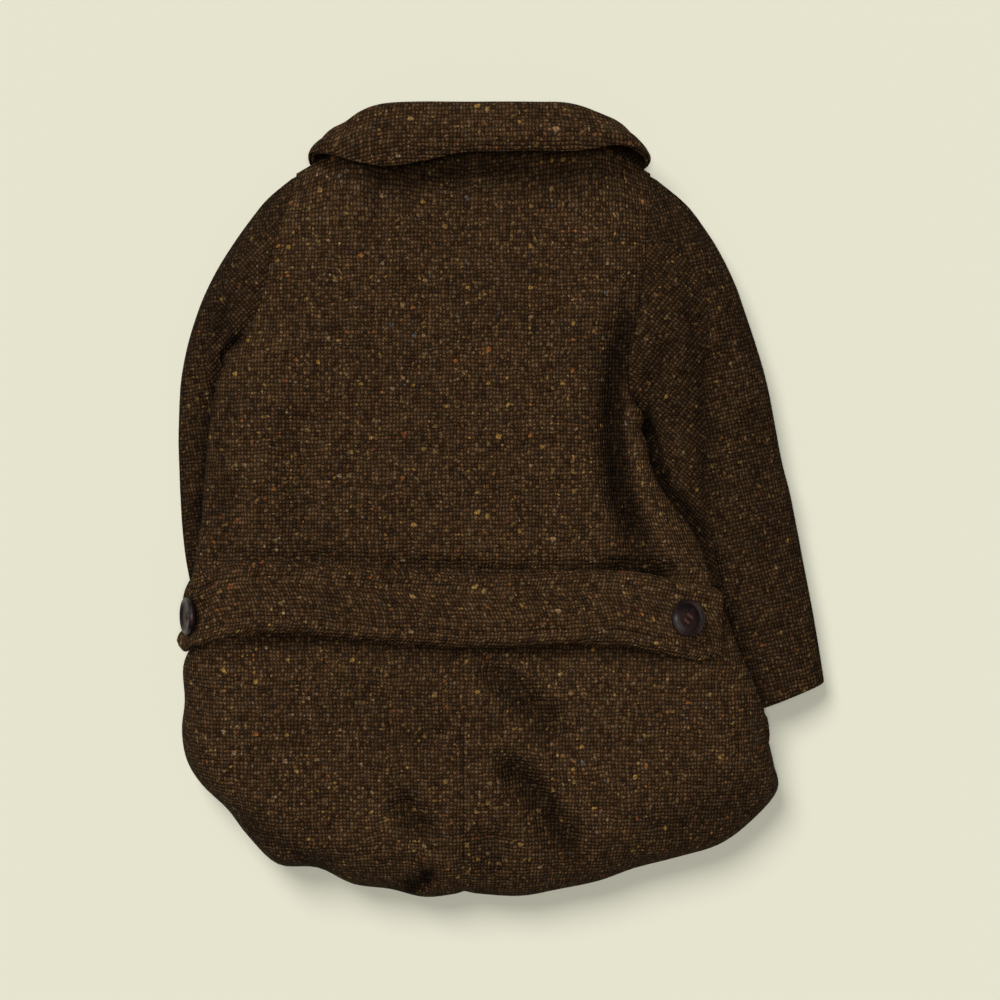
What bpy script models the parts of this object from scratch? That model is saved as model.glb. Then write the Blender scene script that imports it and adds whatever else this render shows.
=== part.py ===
"""Child's swing coat in chunky tweed, laid back up with its lower edge folded under.

Run with: blender --background --python part.py, or from Blender's text editor.

The coat lies on the plane z = 0.  +X is its right-hand side as seen from above (the wearer's
right), +Y runs up to the collar and +Z points away from the surface.  Tables and sizes are in
millimetres, and the meshes are in metres.

How the walls are made: each piece is a grid of points on its outer face, worked out from a
table of sections, and a wall of cloth is built inwards from that grid.
"""
import math

import bmesh
import bpy
import numpy as np
from mathutils import Vector
from mathutils.bvhtree import BVHTree

MM = 0.001                  # metres in a millimetre
ORIGIN = np.array([0.787, -1.260, 0.0])     # middle of the coat's base, in the tables' places

# ---------------------------------------------------------------- driving sizes, millimetres
CLOTH = 2.2                 # thickness of one layer of the tweed
SEAM = 0.3                  # parting between two pieces at a seam
COLLAR_LAYER = 2.0          # thickness of one layer of the collar
BELT_CLOTH = 4.2            # half belt: two layers and their turnings
BELT_REST = 0.8             # parting between the half belt and the back
BUTTON_DIAMETER = 23.0
BUTTON_THICKNESS = 4.6
CENTRE_X = -22.0            # centre-back seam
FRONT_OVERLAP = 20.0        # each front passes the centre by this much
CUFF_CLEARANCE = 1.2        # room between a tucked sleeve and the front that lies on it
HEM_INSET = 16.0            # the fronts end this far inside the folded lower edge
COLLAR_ROOM = 5.4           # the fronts ride this high over the collar that lies under them
HEM_ROOM = 2.8              # and this high over the hem that is turned under them
HEM_START = -128.0          # y below which they do
HEM_LAYER = 4.6             # thickness of the fronts there, where they are folded double
FRONT_END = -227.0          # y of their lower end at the centre

# Spine: where the ribs of the back leave the centre-back seam (y), from neck to lower fold
SPINE = [215.5, 203, 190, 175, 160, 145, 130, 115, 102, 90, 76, 64, 52, 38, 22, 5, -12, -28,
         -40, -50, -60, -68, -77, -84, -91, -97, -103, -108, -113, -117, -121, -124, -127, -130]

# Height of the back along the centre, by y
CROWN = [(216, 48), (190, 52), (120, 55), (50, 56), (-20, 55), (-75, 54), (-130, 57),
         (-180, 56), (-215, 52), (-243, 48)]

# Edge of the back, one row for each place along it:
# spine  y where that rib leaves the centre        x, y   place of the edge in plan
# edge   height of the edge                        reach  width over which the cloth rounds down
# bend   1 = slopes into a seam, 2 = rolls over    under  how far it rolls in below the edge
# tuck   how far it then runs on underneath
EDGE_COLUMNS = ("spine", "x", "y", "edge", "reach", "bend", "under", "tuck")
LEFT_EDGE = [
    (215.5, -126, 202, 24, 70, 2.0, 0, 0),      # shoulder tip
    (190, -133, 176, 38, 60, 1.1, 0, 0),
    (167, -139, 155, 43, 55, 1.0, 0, 0),
    (143, -144, 133, 44, 50, 1.0, 0, 0),        # back of the armhole
    (122, -150, 114, 42, 46, 1.1, 0, 0),
    (106, -159, 101, 39, 42, 1.3, 0, 0),
    (90, -170, 88, 37, 40, 1.7, 0, 0),          # underarm
    (68, -175, 67, 36, 42, 2.0, 6, 6),
    (43, -179, 43, 35, 45, 2.0, 6, 8),
    (10, -182, 12, 35, 45, 2.0, 6, 8),
    (-20, -185, -25, 35, 42, 2.0, 6, 8),
    (-40, -190, -53, 30, 32, 2.0, 7, 8),
    (-54, -182.5, -75, 24, 20, 2.6, 6, 8),      # end of the half belt
    (-65, -195, -96, 24, 30, 2.0, 10, 8),
    (-77, -195, -124, 24, 36, 2.0, 12, 10),
    (-83, -197, -140, 22, 38, 2.0, 14, 12),
    (-91, -194, -161, 20, 38, 2.0, 15, 20),     # lower corner
    (-96, -187, -174, 18, 34, 2.0, 14, 28),
    (-101, -174, -186, 15, 26, 2.0, 11, 34),
    (-107, -159, -205, 12, 20, 2.0, 9, 38),
    (-112, -144, -223, 12, 20, 2.0, 9, 40),
    (-115, -124, -230, 14, 24, 2.0, 10, 42),
    (-118, -108, -228, 18, 30, 2.0, 13, 44),
    (-120, -98, -236, 19, 34, 2.0, 14, 46),
    (-124, -68, -241, 20, 36, 2.0, 15, 46),
    (-126, -55, -247, 20, 36, 2.0, 15, 46),
    (-128, -37, -244, 21, 40, 2.0, 15, 46),
    (-130, -22, -243, 22, 42, 2.0, 15, 46),     # centre back, on the lower fold
]
RIGHT_EDGE = [
    (215.5, 93, 202, 24, 60, 2.0, 0, 0),        # shoulder tip
    (187, 93, 176, 38, 50, 1.1, 0, 0),
    (161, 90, 152, 44, 45, 1.0, 0, 0),
    (138, 87, 130, 46, 42, 1.0, 0, 0),
    (112, 83, 105, 46, 40, 1.0, 0, 0),          # back of the armhole
    (87, 79, 80, 44, 36, 1.1, 0, 0),
    (70, 81, 65, 41, 34, 1.4, 0, 0),
    (52, 89, 50, 38.5, 34, 1.8, 0, 0),          # underarm
    (33, 91, 31, 38.5, 34, 2.0, 5, 6),
    (8, 99, 7, 39, 34, 2.0, 6, 8),
    (-4, 113, -9, 40, 34, 2.0, 6, 8),
    (-17, 123, -28, 40, 38, 1.9, 6, 8),
    (-35, 132, -53, 39, 46, 1.7, 6, 8),
    (-50, 141, -75, 38, 50, 1.6, 6, 8),         # end of the half belt
    (-62, 149, -96, 37, 52, 1.6, 6, 8),
    (-72, 159, -117, 34, 54, 1.7, 7, 10),
    (-80, 164, -134, 29, 55, 1.8, 9, 12),
    (-89, 167, -158, 21, 56, 1.9, 13, 16),      # lower corner
    (-93, 172, -168, 17, 56, 2.0, 12, 20),
    (-98, 171, -183, 16, 58, 2.0, 12, 26),
    (-103, 156, -199, 17, 60, 2.0, 13, 32),
    (-107, 141, -211, 18, 62, 2.0, 13, 38),
    (-110, 124, -218, 19, 60, 2.0, 14, 42),
    (-114, 103, -223, 19, 55, 2.0, 14, 44),
    (-118, 77, -230, 20, 50, 2.0, 15, 46),
    (-121, 61, -236, 20, 46, 2.0, 15, 46),
    (-124, 37, -241, 20, 44, 2.0, 15, 46),
    (-126, 22, -246, 20, 40, 2.0, 15, 46),
    (-128.5, -6, -243, 21, 40, 2.0, 15, 46),
    (-130, -22, -243, 22, 42, 2.0, 15, 46),     # centre back, on the lower fold
]
UNDERARM_SPINE = {"left": 90, "right": 52}
CORNER_SPINE = {"left": -91, "right": -91}      # below this rib the fronts ride over the hem
LAST_FRONT_SPINE = {"left": -113, "right": -108}

# Neck and shoulder edge of the back, from the centre to the shoulder tip: (x, y, z)
NECK_BACK = {
    "left": [(-22, 215.5, 48), (-62, 216.5, 46.5), (-84, 218, 42), (-98, 216.5, 35),
             (-126, 202, 24)],
    "right": [(-22, 215.5, 48), (22, 216.5, 47), (48, 218, 44), (64, 217.5, 37),
              (93, 202, 24)],
}
# Neckline of the fronts, from where they overlap to the same shoulder point and tip
NECK_FRONT = {
    "left": [(-46, 155.5, 11), (-68, 168.5, 13), (-85, 185, 16), (-95, 203, 23),
             (-98, 216.5, 35), (-126, 202, 24)],
    "right": [(-2, 155.5, 11), (28, 167, 13), (52, 185, 16), (62, 203, 23),
              (64, 217.5, 37), (93, 202, 24)],
}
NECK_ROLL = 16.0                                # the fronts come down over this width below it
SHOULDER_START = {"left": -98, "right": 64}     # x where the shoulder seam meets the neck

# Front half of the armhole, from the shoulder tip to the underarm: (x, y)
ARMHOLE_FRONT = {
    "left": [(-126, 202), (-127, 178), (-128, 150), (-133, 122), (-148, 103), (-170, 88)],
    "right": [(93, 202), (90, 175), (84, 140), (74, 105), (72, 75), (89, 50)],
}

# Sleeves, one row for each section from the armhole to the cuff:
# outer x, y and inner x, y: the two folds of the sleeve in plan     edge: height of the folds
# crest: height of the top      hind: angle of the hindarm seam, 0 at the outer fold, 90 on top
SLEEVE_COLUMNS = ("outer_x", "outer_y", "inner_x", "inner_y", "edge", "crest", "hind")
SLEEVES = {
    "left": [
        (-126, 202, -170, 88, 20, 40, 40),      # armhole
        (-142, 189, -173, 88, 19, 40, 48),
        (-160, 167, -174, 87, 18, 39, 58),
        (-176, 142, -175, 86, 17, 36, 66),
        (-188, 116, -173, 79.5, 16, 32, 72),
        (-195.5, 90, -162, 71, 15, 28, 76),
        (-199, 66, -142, 60, 14, 26, 80),       # upper arm
        (-200, 36, -123, 40, 13, 25, 84),
        (-199, 6, -116, 4, 13, 25, 86),
        (-197, -25, -115, -30, 13, 25, 86),
        (-192, -56, -114, -62, 12, 25, 86),
        (-184, -87, -112, -93, 12, 24, 86),
        (-177, -115, -110, -124, 11, 23, 86),   # cuff
    ],
    "right": [
        (93, 202, 89, 50, 20, 42, 34),          # armhole
        (113, 186, 95, 50.5, 19, 43, 44),
        (132, 161, 97, 46, 18, 42, 56),
        (145, 136, 96, 40, 18, 40, 68),
        (154, 111, 93, 35, 17, 37, 80),
        (162, 86, 89, 30, 17, 35, 88),
        (168, 62, 85, 26, 17, 34, 90),          # upper arm
        (173.5, 31, 85, 12, 16, 34, 95),
        (181, 0, 90, -16, 16, 34, 100),
        (187, -31, 99, -47, 15, 33, 102),
        (193, -62, 110, -80, 15, 32, 104),
        (197.5, -87, 120, -107, 14, 30, 104),
        (201.5, -112, 131, -139, 14, 29, 104),  # cuff
    ],
}
SLEEVE_AXIS_FROM = 5        # the fronts are lifted by the sleeve from this section on
SLEEVE_SKIRT = 22.0         # and come down again over this width beside it
SLEEVE_ENDS = (18.0, 28.0)  # and over this length towards the underarm, and past the cuff
CUFF_EDGE = 6.0             # it only comes down from this far past the cuff
SLEEVE_SECTIONS = 18        # grid rows along a sleeve
UNDERARM_TURN = 8.0         # degrees either side of the fold that the underarm takes up
SLEEVE_FLAT = 2 / 3.5       # how square the sleeve's underside is
ARMHOLE_SHARES = np.array([0, 0.04, 0.09, 0.16, 0.28, 0.42, 0.57, 0.72, 0.86, 1.0])
HIND_AT = {"left": 2, "right": 3}               # rib of the back where the hindarm seam starts
FOREARM_AT = 4              # and the forearm seam, counted from the underarm
FRONT_COLUMNS = 12          # grid columns across a front
COLLAR_STATIONS = 17        # grid rows from the centre back to a front end of the collar
BELT_SEGMENTS = 24
FOREARM_SEAM = 270.0        # angle of the forearm seam, under the sleeve

# Creases of the back: width and depth (a ridge has a minus), then its line in plan
CREASES = [
    (7.0, 5.0, [(84, 118), (71, 86), (69, 49), (73, 6), (82, -22), (94, -46)]),
    (9.0, -2.0, [(84, 60), (88, 20), (100, -20), (112, -44)]),
    (5.0, 4.0, [(62, -45), (84, -47), (104, -50)]),
    (8.0, 2.5, [(-12, -99), (25, -130), (37, -149)]),
    (9.0, 3.0, [(0, -158), (25, -180), (46, -217)]),
    (8.0, 2.0, [(-62, -180), (-43, -205)]),
    (5.0, 5.0, [(-60, -238), (-50, -235), (-40, -227)]),
    (12.0, 4.0, [(-3, -200), (-5, -232)]),
    (8.0, -2.5, [(-31, -214), (-33, -234)]),
    (6.0, 3.0, [(-160, 20), (-166, -10), (-172, -40)]),
]

# Collar, one row for each station from the centre back to its front end.  neck: the neck
# seam; fold: the fold at the top of the stand; fall: the outer edge.  puff: how far the fall
# bows out
COLLAR_COLUMNS = ("neck_x", "neck_y", "neck_z", "fold_x", "fold_y", "fold_z",
                  "fall_x", "fall_y", "fall_z", "puff")
COLLAR = {
    "left": [
        (-22, 216.2, 46.5, -22, 240.5, 55, -22, 212, 65, 3),
        (-60, 217.4, 45.0, -62, 240.5, 54, -64, 204, 62, 3),
        (-80, 219.0, 41.5, -81, 237, 50, -86, 207, 58, 3),
        (-91, 219.0, 36.5, -96, 231.5, 43, -103, 212, 50, 2),
        (-92.5, 216.5, 31.0, -106, 225.5, 30, -115, 213, 39, 1),
        (-90.5, 205.0, 21.0, -104, 222, 13.5, -117, 209, 16, 0.5),
        (-86.5, 197.0, 18.0, -97, 216, 10.0, -112, 201, 4.5, 0),
        (-81, 188.5, 15.5, -88, 205, 8.5, -100, 180, 3.0, 0),
        (-61, 169.5, 13.0, -62, 182, 8.0, -70, 140, 3.0, 0),
        (-27, 159.5, 12.5, -28, 170, 8.0, -34, 127, 3.0, 0),
    ],
    "right": [
        (-22, 216.2, 46.5, -22, 240.5, 55, -22, 212, 65, 3),
        (20, 217.4, 45.5, 20, 240.5, 55, 20, 213, 66, 3),
        (45, 219.0, 43.0, 45.5, 241, 53, 49, 213, 65, 3),
        (58, 219.0, 38.5, 66, 235.5, 46, 72, 217, 60, 2),
        (60, 216.5, 32.5, 77, 228, 33, 89, 212, 44, 1),
        (57.5, 205.0, 21.0, 73, 223, 14.5, 91, 208, 18, 0.5),
        (53.5, 197.0, 18.0, 64, 217, 10.5, 81, 201, 4.5, 0),
        (49, 188.5, 15.5, 56, 205, 8.5, 68, 180, 3.0, 0),
        (25, 169.5, 13.0, 26, 182, 8.0, 34, 140, 3.0, 0),
        (-17, 159.5, 12.5, -16, 170, 8.0, -10, 127, 3.0, 0),
    ],
}

# Half belt: x, then y of its upper and lower edges, and how far each edge stands off the back
BELT_COLUMNS = ("x", "upper", "lower", "upper_off", "lower_off")
BELT = [
    (-183.8, -60, -91, 5.5, 7.5),               # rounded left end, down the side
    (-183.4, -55, -93, 3.8, 4.5),
    (-181.8, -49.5, -90, 2.8, 2.5),
    (-178.5, -47, -88.5, 1.8, 2.5),
    (-174, -45, -87, 0.3, 3.0),
    (-168, -42, -84, 0.2, 4.0),
    (-155, -40, -80, 0.0, 5.0),
    (-130, -39.5, -79, 0.0, 4.0),
    (-100, -41, -81, 0.0, 1.5),
    (-62, -44, -85, 0.0, 0.5),
    (0, -47, -88, 0.0, 0.5),
    (40, -45.5, -86, 0.0, 0.5),
    (75, -45.5, -87, 0.0, 0.5),
    (100, -49, -92, 0.0, 0.5),
    (118, -53, -96, 0.0, 0.5),
    (128, -55, -97.5, 1.2, 0.8),
    (133, -58, -94, 2.8, 1.5),                  # rounded right end
]
# Beyond this x its left end hangs down the side, by this much
BELT_DROP = [(-183.8, 19.0), (-183.3, 13.0), (-181.8, 6.0), (-178.5, 0.0)]
BELT_BEND = (44.0, 12)      # its left end wraps the side: this length has this many segments
# Its buttons: x, y and how far each leans over from facing up, in degrees (a minus to the left)
BELT_BUTTONS = {"left": (-187.0, -70.5, -68.0), "right": (122.0, -71.0, -36.0)}
BUTTON_REST = 0.35          # parting between a button and the half belt
# Turned outline from the middle of the dish over the rim to the back: shares of the radius
# and of the thickness
BUTTON_PROFILE = [(0.0, 0.55), (0.42, 0.58), (0.62, 0.78), (0.78, 1.0), (0.92, 0.93),
                  (1.0, 0.6), (0.94, 0.2), (0.7, 0.0), (0.0, 0.0)]
TWEED = (0.030, 0.017, 0.009)
HORN = (0.016, 0.008, 0.006)


# ---------------------------------------------------------------- small helpers
def smooth(keys, values, at):
    """Cubic through (keys, values) with averaged slopes; `keys` rise or fall steadily."""
    keys = np.asarray(keys, float)
    values = np.asarray(values, float)
    if keys[0] > keys[-1]:
        keys, values = keys[::-1], values[::-1]
    at = np.clip(np.asarray(at, float), keys[0], keys[-1])
    steps = np.diff(values) / np.diff(keys)
    slopes = np.concatenate([[steps[0]], (steps[:-1] + steps[1:]) / 2, [steps[-1]]])
    i = np.clip(np.searchsorted(keys, at, side="right") - 1, 0, len(keys) - 2)
    width = keys[i + 1] - keys[i]
    t = (at - keys[i]) / width
    return ((2 * t**3 - 3 * t**2 + 1) * values[i] + (t**3 - 2 * t**2 + t) * width * slopes[i]
            + (3 * t**2 - 2 * t**3) * values[i + 1] + (t**3 - t**2) * width * slopes[i + 1])


def ease(value):
    """0 to 1 with a soft start and end."""
    value = np.clip(value, 0.0, 1.0)
    return value * value * (3 - 2 * value)


def arc_lengths(points):
    """Distance travelled along a polyline, at each of its points."""
    return np.concatenate([[0.0], np.cumsum(np.linalg.norm(np.diff(points, axis=0), axis=1))])


def resample(points, shares):
    """Points at the given shares (0 to 1) of a polyline's length."""
    lengths = arc_lengths(points)
    at = np.asarray(shares) * lengths[-1]
    return np.stack([np.interp(at, lengths, points[:, k]) for k in range(points.shape[1])], 1)


def line_distance(x, y, line):
    """Plan distance from (x, y) to a polyline, and the share of it at the nearest point."""
    line = np.asarray(line, float)
    best = np.full(np.shape(x), 1e9)
    share = np.zeros(np.shape(x))
    lengths = arc_lengths(line)
    for k in range(len(line) - 1):
        step = line[k + 1] - line[k]
        t = np.clip(((x - line[k, 0]) * step[0] + (y - line[k, 1]) * step[1])
                    / (step @ step), 0, 1)
        d = np.hypot(x - line[k, 0] - t * step[0], y - line[k, 1] - t * step[1])
        nearer = d < best
        best = np.where(nearer, d, best)
        share = np.where(nearer, (lengths[k] + t * (lengths[k + 1] - lengths[k])) / lengths[-1],
                         share)
    return best, share


def unit(vectors):
    """The vectors at length one."""
    return vectors / np.maximum(np.linalg.norm(vectors, axis=-1, keepdims=True), 1e-9)


def column(table, names, name):
    return [row[names.index(name)] for row in table]


# ---------------------------------------------------------------- meshes
def grid_normals(points, closed=False):
    """Unit normals of a grid of points, rows by columns; `closed` joins the last column."""
    def directions(grid):
        steps = unit(np.diff(grid, axis=0))
        return np.concatenate([steps[:1], steps[:-1] + steps[1:], steps[-1:]])

    along = directions(points)
    if closed:
        steps = unit(np.roll(points, -1, axis=1) - points)
        across = steps + np.roll(steps, 1, axis=1)
    else:
        across = directions(points.swapaxes(0, 1)).swapaxes(0, 1)
    return unit(np.cross(unit(across), unit(along)))


def outward(normals, points, up_at):
    """The same normals, turned so that the one at row and column `up_at` looks up."""
    return normals if normals[up_at][2] > 0 else -normals


def wall(name, outer, inner, collection):
    """A closed solid between two grids of points of the same shape."""
    rows, columns = outer.shape[:2]
    mesh = bmesh.new()
    skins = [[[mesh.verts.new((skin[i, j] - ORIGIN) * MM) for j in range(columns)]
              for i in range(rows)] for skin in (outer, inner)]
    top, low = skins
    for i in range(rows - 1):
        for j in range(columns - 1):
            mesh.faces.new((top[i][j], top[i + 1][j], top[i + 1][j + 1], top[i][j + 1]))
            mesh.faces.new((low[i][j], low[i][j + 1], low[i + 1][j + 1], low[i + 1][j]))
    border = ([(i, 0) for i in range(rows)] + [(rows - 1, j) for j in range(1, columns)]
              + [(i, columns - 1) for i in range(rows - 2, -1, -1)]
              + [(0, j) for j in range(columns - 2, 0, -1)])
    for (a, b), (c, d) in zip(border, border[1:] + border[:1]):
        mesh.faces.new((top[a][b], low[a][b], low[c][d], top[c][d]))
    bmesh.ops.triangulate(mesh, faces=mesh.faces[:])
    bmesh.ops.recalc_face_normals(mesh, faces=mesh.faces[:])
    data = bpy.data.meshes.new(name)
    mesh.to_mesh(data)
    mesh.free()
    data.shade_smooth()
    data.set_sharp_from_angle(angle=math.radians(50))
    piece = bpy.data.objects.new(name, data)
    piece.data.materials.append(finish(name, TWEED, 0.95))
    collection.objects.link(piece)
    return piece


def finish(name, colour, roughness):
    """A plain material in the piece's colour."""
    material = bpy.data.materials.new(name)
    material.use_nodes = True
    shader = material.node_tree.nodes["Principled BSDF"]
    shader.inputs["Base Color"].default_value = (*colour, 1.0)
    shader.inputs["Roughness"].default_value = roughness
    shader.inputs["Metallic"].default_value = 0.0
    return material


# ---------------------------------------------------------------- sleeves lying under the body
def sleeve_axis(side):
    """Centre line of a sleeve in plan with its half width and height, below the underarm."""
    rows = np.array(SLEEVES[side], float)[SLEEVE_AXIS_FROM:]
    centre = (rows[:, 0:2] + rows[:, 2:4]) / 2
    half = np.linalg.norm(rows[:, 0:2] - rows[:, 2:4], axis=1) / 2
    return centre, half, rows[:, 5]


def lift(x, y):
    """Height at which the fronts lie: on the surface, or on the sleeves and the collar."""
    height = COLLAR_ROOM * ease((np.asarray(y, float) - 65) / 45)
    for side in ("left", "right"):
        centre, half, crest = sleeve_axis(side)
        distance, share = line_distance(x, y, centre)
        keys = arc_lengths(centre) / arc_lengths(centre)[-1]
        past, down = np.zeros(np.shape(x)), np.zeros(np.shape(x))
        for end, beside, length, at_end in ((0, 1, SLEEVE_ENDS[0], share <= 0),
                                            (-1, -2, SLEEVE_ENDS[1], share >= 1)):
            along = unit(centre[end] - centre[beside])
            beyond = (x - centre[end, 0]) * along[0] + (y - centre[end, 1]) * along[1]
            past = np.where(at_end, np.maximum(beyond, 0), past)
            down = np.where(at_end, np.maximum(past - CUFF_EDGE * (end < 0), 0) / length, down)
        beside = np.sqrt(np.maximum(distance**2 - past**2, 0))
        reach = np.interp(share, keys, half) + SLEEVE_SKIRT
        top = np.interp(share, keys, crest) + CUFF_CLEARANCE
        ratio = np.hypot(beside / reach, down)
        height = np.maximum(height, top * np.clip(1 - ratio**3, 0, 1) ** 1.2)
    return height


def lift_normal(x, y):
    """Upward normal of that height."""
    step = 0.5
    slope_x = (lift(x + step, y) - lift(x - step, y)) / (2 * step)
    slope_y = (lift(x, y + step) - lift(x, y - step)) / (2 * step)
    normal = np.stack([-slope_x, -slope_y, np.ones_like(slope_x)], axis=-1)
    return normal / np.linalg.norm(normal, axis=-1, keepdims=True)


# ---------------------------------------------------------------- the back
EDGES = {"left": LEFT_EDGE, "right": RIGHT_EDGE}
TOP_COLUMNS = 10            # grid columns from the centre-back seam to the rim
ROLL_COLUMNS = 3            # round the rim to the underside
TUCK_COLUMNS = 2            # and on underneath, to the side seam or the hem
TOP_SHARES = 1 - (1 - np.linspace(0, 1, TOP_COLUMNS)) ** 1.5
# where a rib ends at the armhole, its columns are spread along all of it
PLAIN_SHARES = np.concatenate([0.88 * TOP_SHARES, [0.91, 0.94, 0.96, 0.98, 1.0]])


def edge_at(side, spine):
    """The edge table's values at a place along the spine, as a dictionary."""
    table = EDGES[side]
    keys = column(table, EDGE_COLUMNS, "spine")
    return {name: float(smooth(keys, column(table, EDGE_COLUMNS, name), spine))
            for name in EDGE_COLUMNS}


def crease_depth(x, y):
    """How far the creases sink the cloth at (x, y)."""
    depth = np.zeros(np.shape(x))
    for width, sunk, line in CREASES:
        distance, share = line_distance(x, y, line)
        ends = ease(share / 0.15) * ease((1 - share) / 0.15)
        depth += sunk * np.exp(-(distance / width) ** 2) * (0.25 + 0.75 * ends)
    return depth


def rib_top(side, spine):
    """Points of a rib's upper face, from the centre to the rim, with its edge values."""
    row = edge_at(side, spine)
    start = np.array([CENTRE_X, spine])
    end = np.array([row["x"], row["y"]])
    length = np.linalg.norm(end - start)
    run = length * (1 - np.linspace(0, 1, 60)) ** 1.3
    plan = end + (start - end) / length * run[:, None]
    crown = smooth([k for k, _ in CROWN], [v for _, v in CROWN], plan[:, 1])
    rounding = 1 - (1 - np.clip(run / row["reach"], 0, 1)) ** 2
    height = row["edge"] + (crown - row["edge"]) * rounding ** (1 / row["bend"])
    height -= crease_depth(plan[:, 0], plan[:, 1]) * rounding
    return np.column_stack([plan, height]), row


def rib(side, spine):
    """One grid row of the back: over the top, round the rim and on underneath."""
    points, row = rib_top(side, spine)
    settled = float(ease((UNDERARM_SPINE[side] - spine) / 32))
    if settled == 0:
        return resample(points, PLAIN_SHARES)
    end = points[-1, :2]
    inward = unit(points[0, :2] - end)
    turn = np.radians(90 * np.arange(1, ROLL_COLUMNS + 1) / ROLL_COLUMNS)
    low = end + inward * row["under"]
    drop = row["edge"] - float(lift(low[0], low[1]))
    roll = end + inward * (row["under"] * (1 - np.cos(turn)))[:, None]
    tuck = low + inward * (row["tuck"] * np.arange(1, TUCK_COLUMNS + 1) / TUCK_COLUMNS)[:, None]
    below = np.vstack([np.column_stack([roll, row["edge"] - drop * np.sin(turn)]),
                       np.column_stack([tuck, lift(tuck[:, 0], tuck[:, 1])])])
    plain = resample(np.vstack([points, below]), PLAIN_SHARES)
    return plain + (np.vstack([resample(points, TOP_SHARES), below]) - plain) * settled


def back_grid(side):
    """Grid of the outer face, rib by rib, with the neck and shoulder edge worked in."""
    grid = np.stack([rib(side, spine) for spine in SPINE])
    top = resample(np.array(NECK_BACK[side], float), PLAIN_SHARES)
    change = top - grid[0]
    for i, spine in enumerate(SPINE):
        grid[i] += change * (1 - ease((SPINE[0] - spine) / 42))
    return grid


def build_back(collection):
    """The two halves of the back, parted at the centre-back seam."""
    left, right = back_grid("left"), back_grid("right")
    whole = np.concatenate([left[:, ::-1], right[:, 1:]], axis=1)
    last = len(PLAIN_SHARES) - 1
    normals = outward(grid_normals(whole), whole, up_at=(5, last))
    backs = {}
    for side, columns in (("left", slice(last, None, -1)), ("right", slice(last, None))):
        face, facing = whole[:, columns].copy(), normals[:, columns].copy()
        # the last rib runs down the centre seam, over the fold: its normal has no x
        run = np.gradient(face[-1], axis=0)
        facing[-1] = unit(np.column_stack([np.zeros(len(run)), run[:, 2], -run[:, 1]]))
        facing[-1] *= np.sign(facing[-1, 0, 2])
        # the shoulder seam faces straight up the coat, as the fronts' does
        shoulder = ease((abs(face[0, :, 0] - CENTRE_X) - abs(SHOULDER_START[side] - CENTRE_X))
                        / 4 + 1)[:, None]
        facing[0] = unit(facing[0] * (1 - shoulder) + np.array([0, 1, 0]) * shoulder)
        for i, spine in enumerate(SPINE):
            if edge_at(side, spine)["tuck"] > 0.2:
                facing[i, -1] = -lift_normal(face[i, -1, 0], face[i, -1, 1])
        away = -1 if side == "left" else 1
        face[:, 0, 0] = CENTRE_X + away * SEAM / 2
        face[-1, :, 0] = CENTRE_X + away * SEAM / 2
        inner = face - facing * CLOTH
        inner[:, 0, 0] = face[:, 0, 0]
        inner[-1, :, 0] = face[-1, :, 0]
        wall(f"back_{side}", face, inner, collection)
        backs[side] = (face, facing)
    return backs


# ---------------------------------------------------------------- the fronts
def neckline(side):
    """The front's neck and shoulder edge, from its free edge to the shoulder tip."""
    line = np.array(NECK_FRONT[side], float)
    past = 1 if side == "left" else -1
    first = [[CENTRE_X + past * FRONT_OVERLAP, line[0, 1], line[0, 2]]]
    return np.vstack([first, line])


def front_height(side, x, y, layer):
    """Height of the underside of a front at (x, y); `layer` is its thickness there."""
    line = neckline(side)
    order = np.argsort(line[:, 0])
    edge_y = np.interp(x, line[order, 0], line[order, 1])
    edge_z = np.interp(x, line[order, 0], line[order, 2])
    height = lift(x, y) + HEM_ROOM * ease((HEM_START - y) / 16) / lift_normal(x, y)[..., 2]
    u = np.clip((edge_y - y) / NECK_ROLL, 0, 1)
    height += (edge_z - height) * (1 - u) ** 2
    if side == "left":      # passes over the other front at the centre
        height += (layer + 1.4) * ease((x - CENTRE_X + 2 * FRONT_OVERLAP + 4) / 16)
    return height


def front_armhole(side):
    """Points of the front half of the armhole, from the shoulder tip to the underarm."""
    rough = np.array(ARMHOLE_FRONT[side], float)
    keys = arc_lengths(rough)
    fine = np.linspace(0, keys[-1], 60)
    line = np.stack([smooth(keys, rough[:, 0], fine), smooth(keys, rough[:, 1], fine)], axis=1)
    plan = resample(line, ARMHOLE_SHARES)
    return np.column_stack([plan, front_height(side, plan[:, 0], plan[:, 1], CLOTH)])


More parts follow.
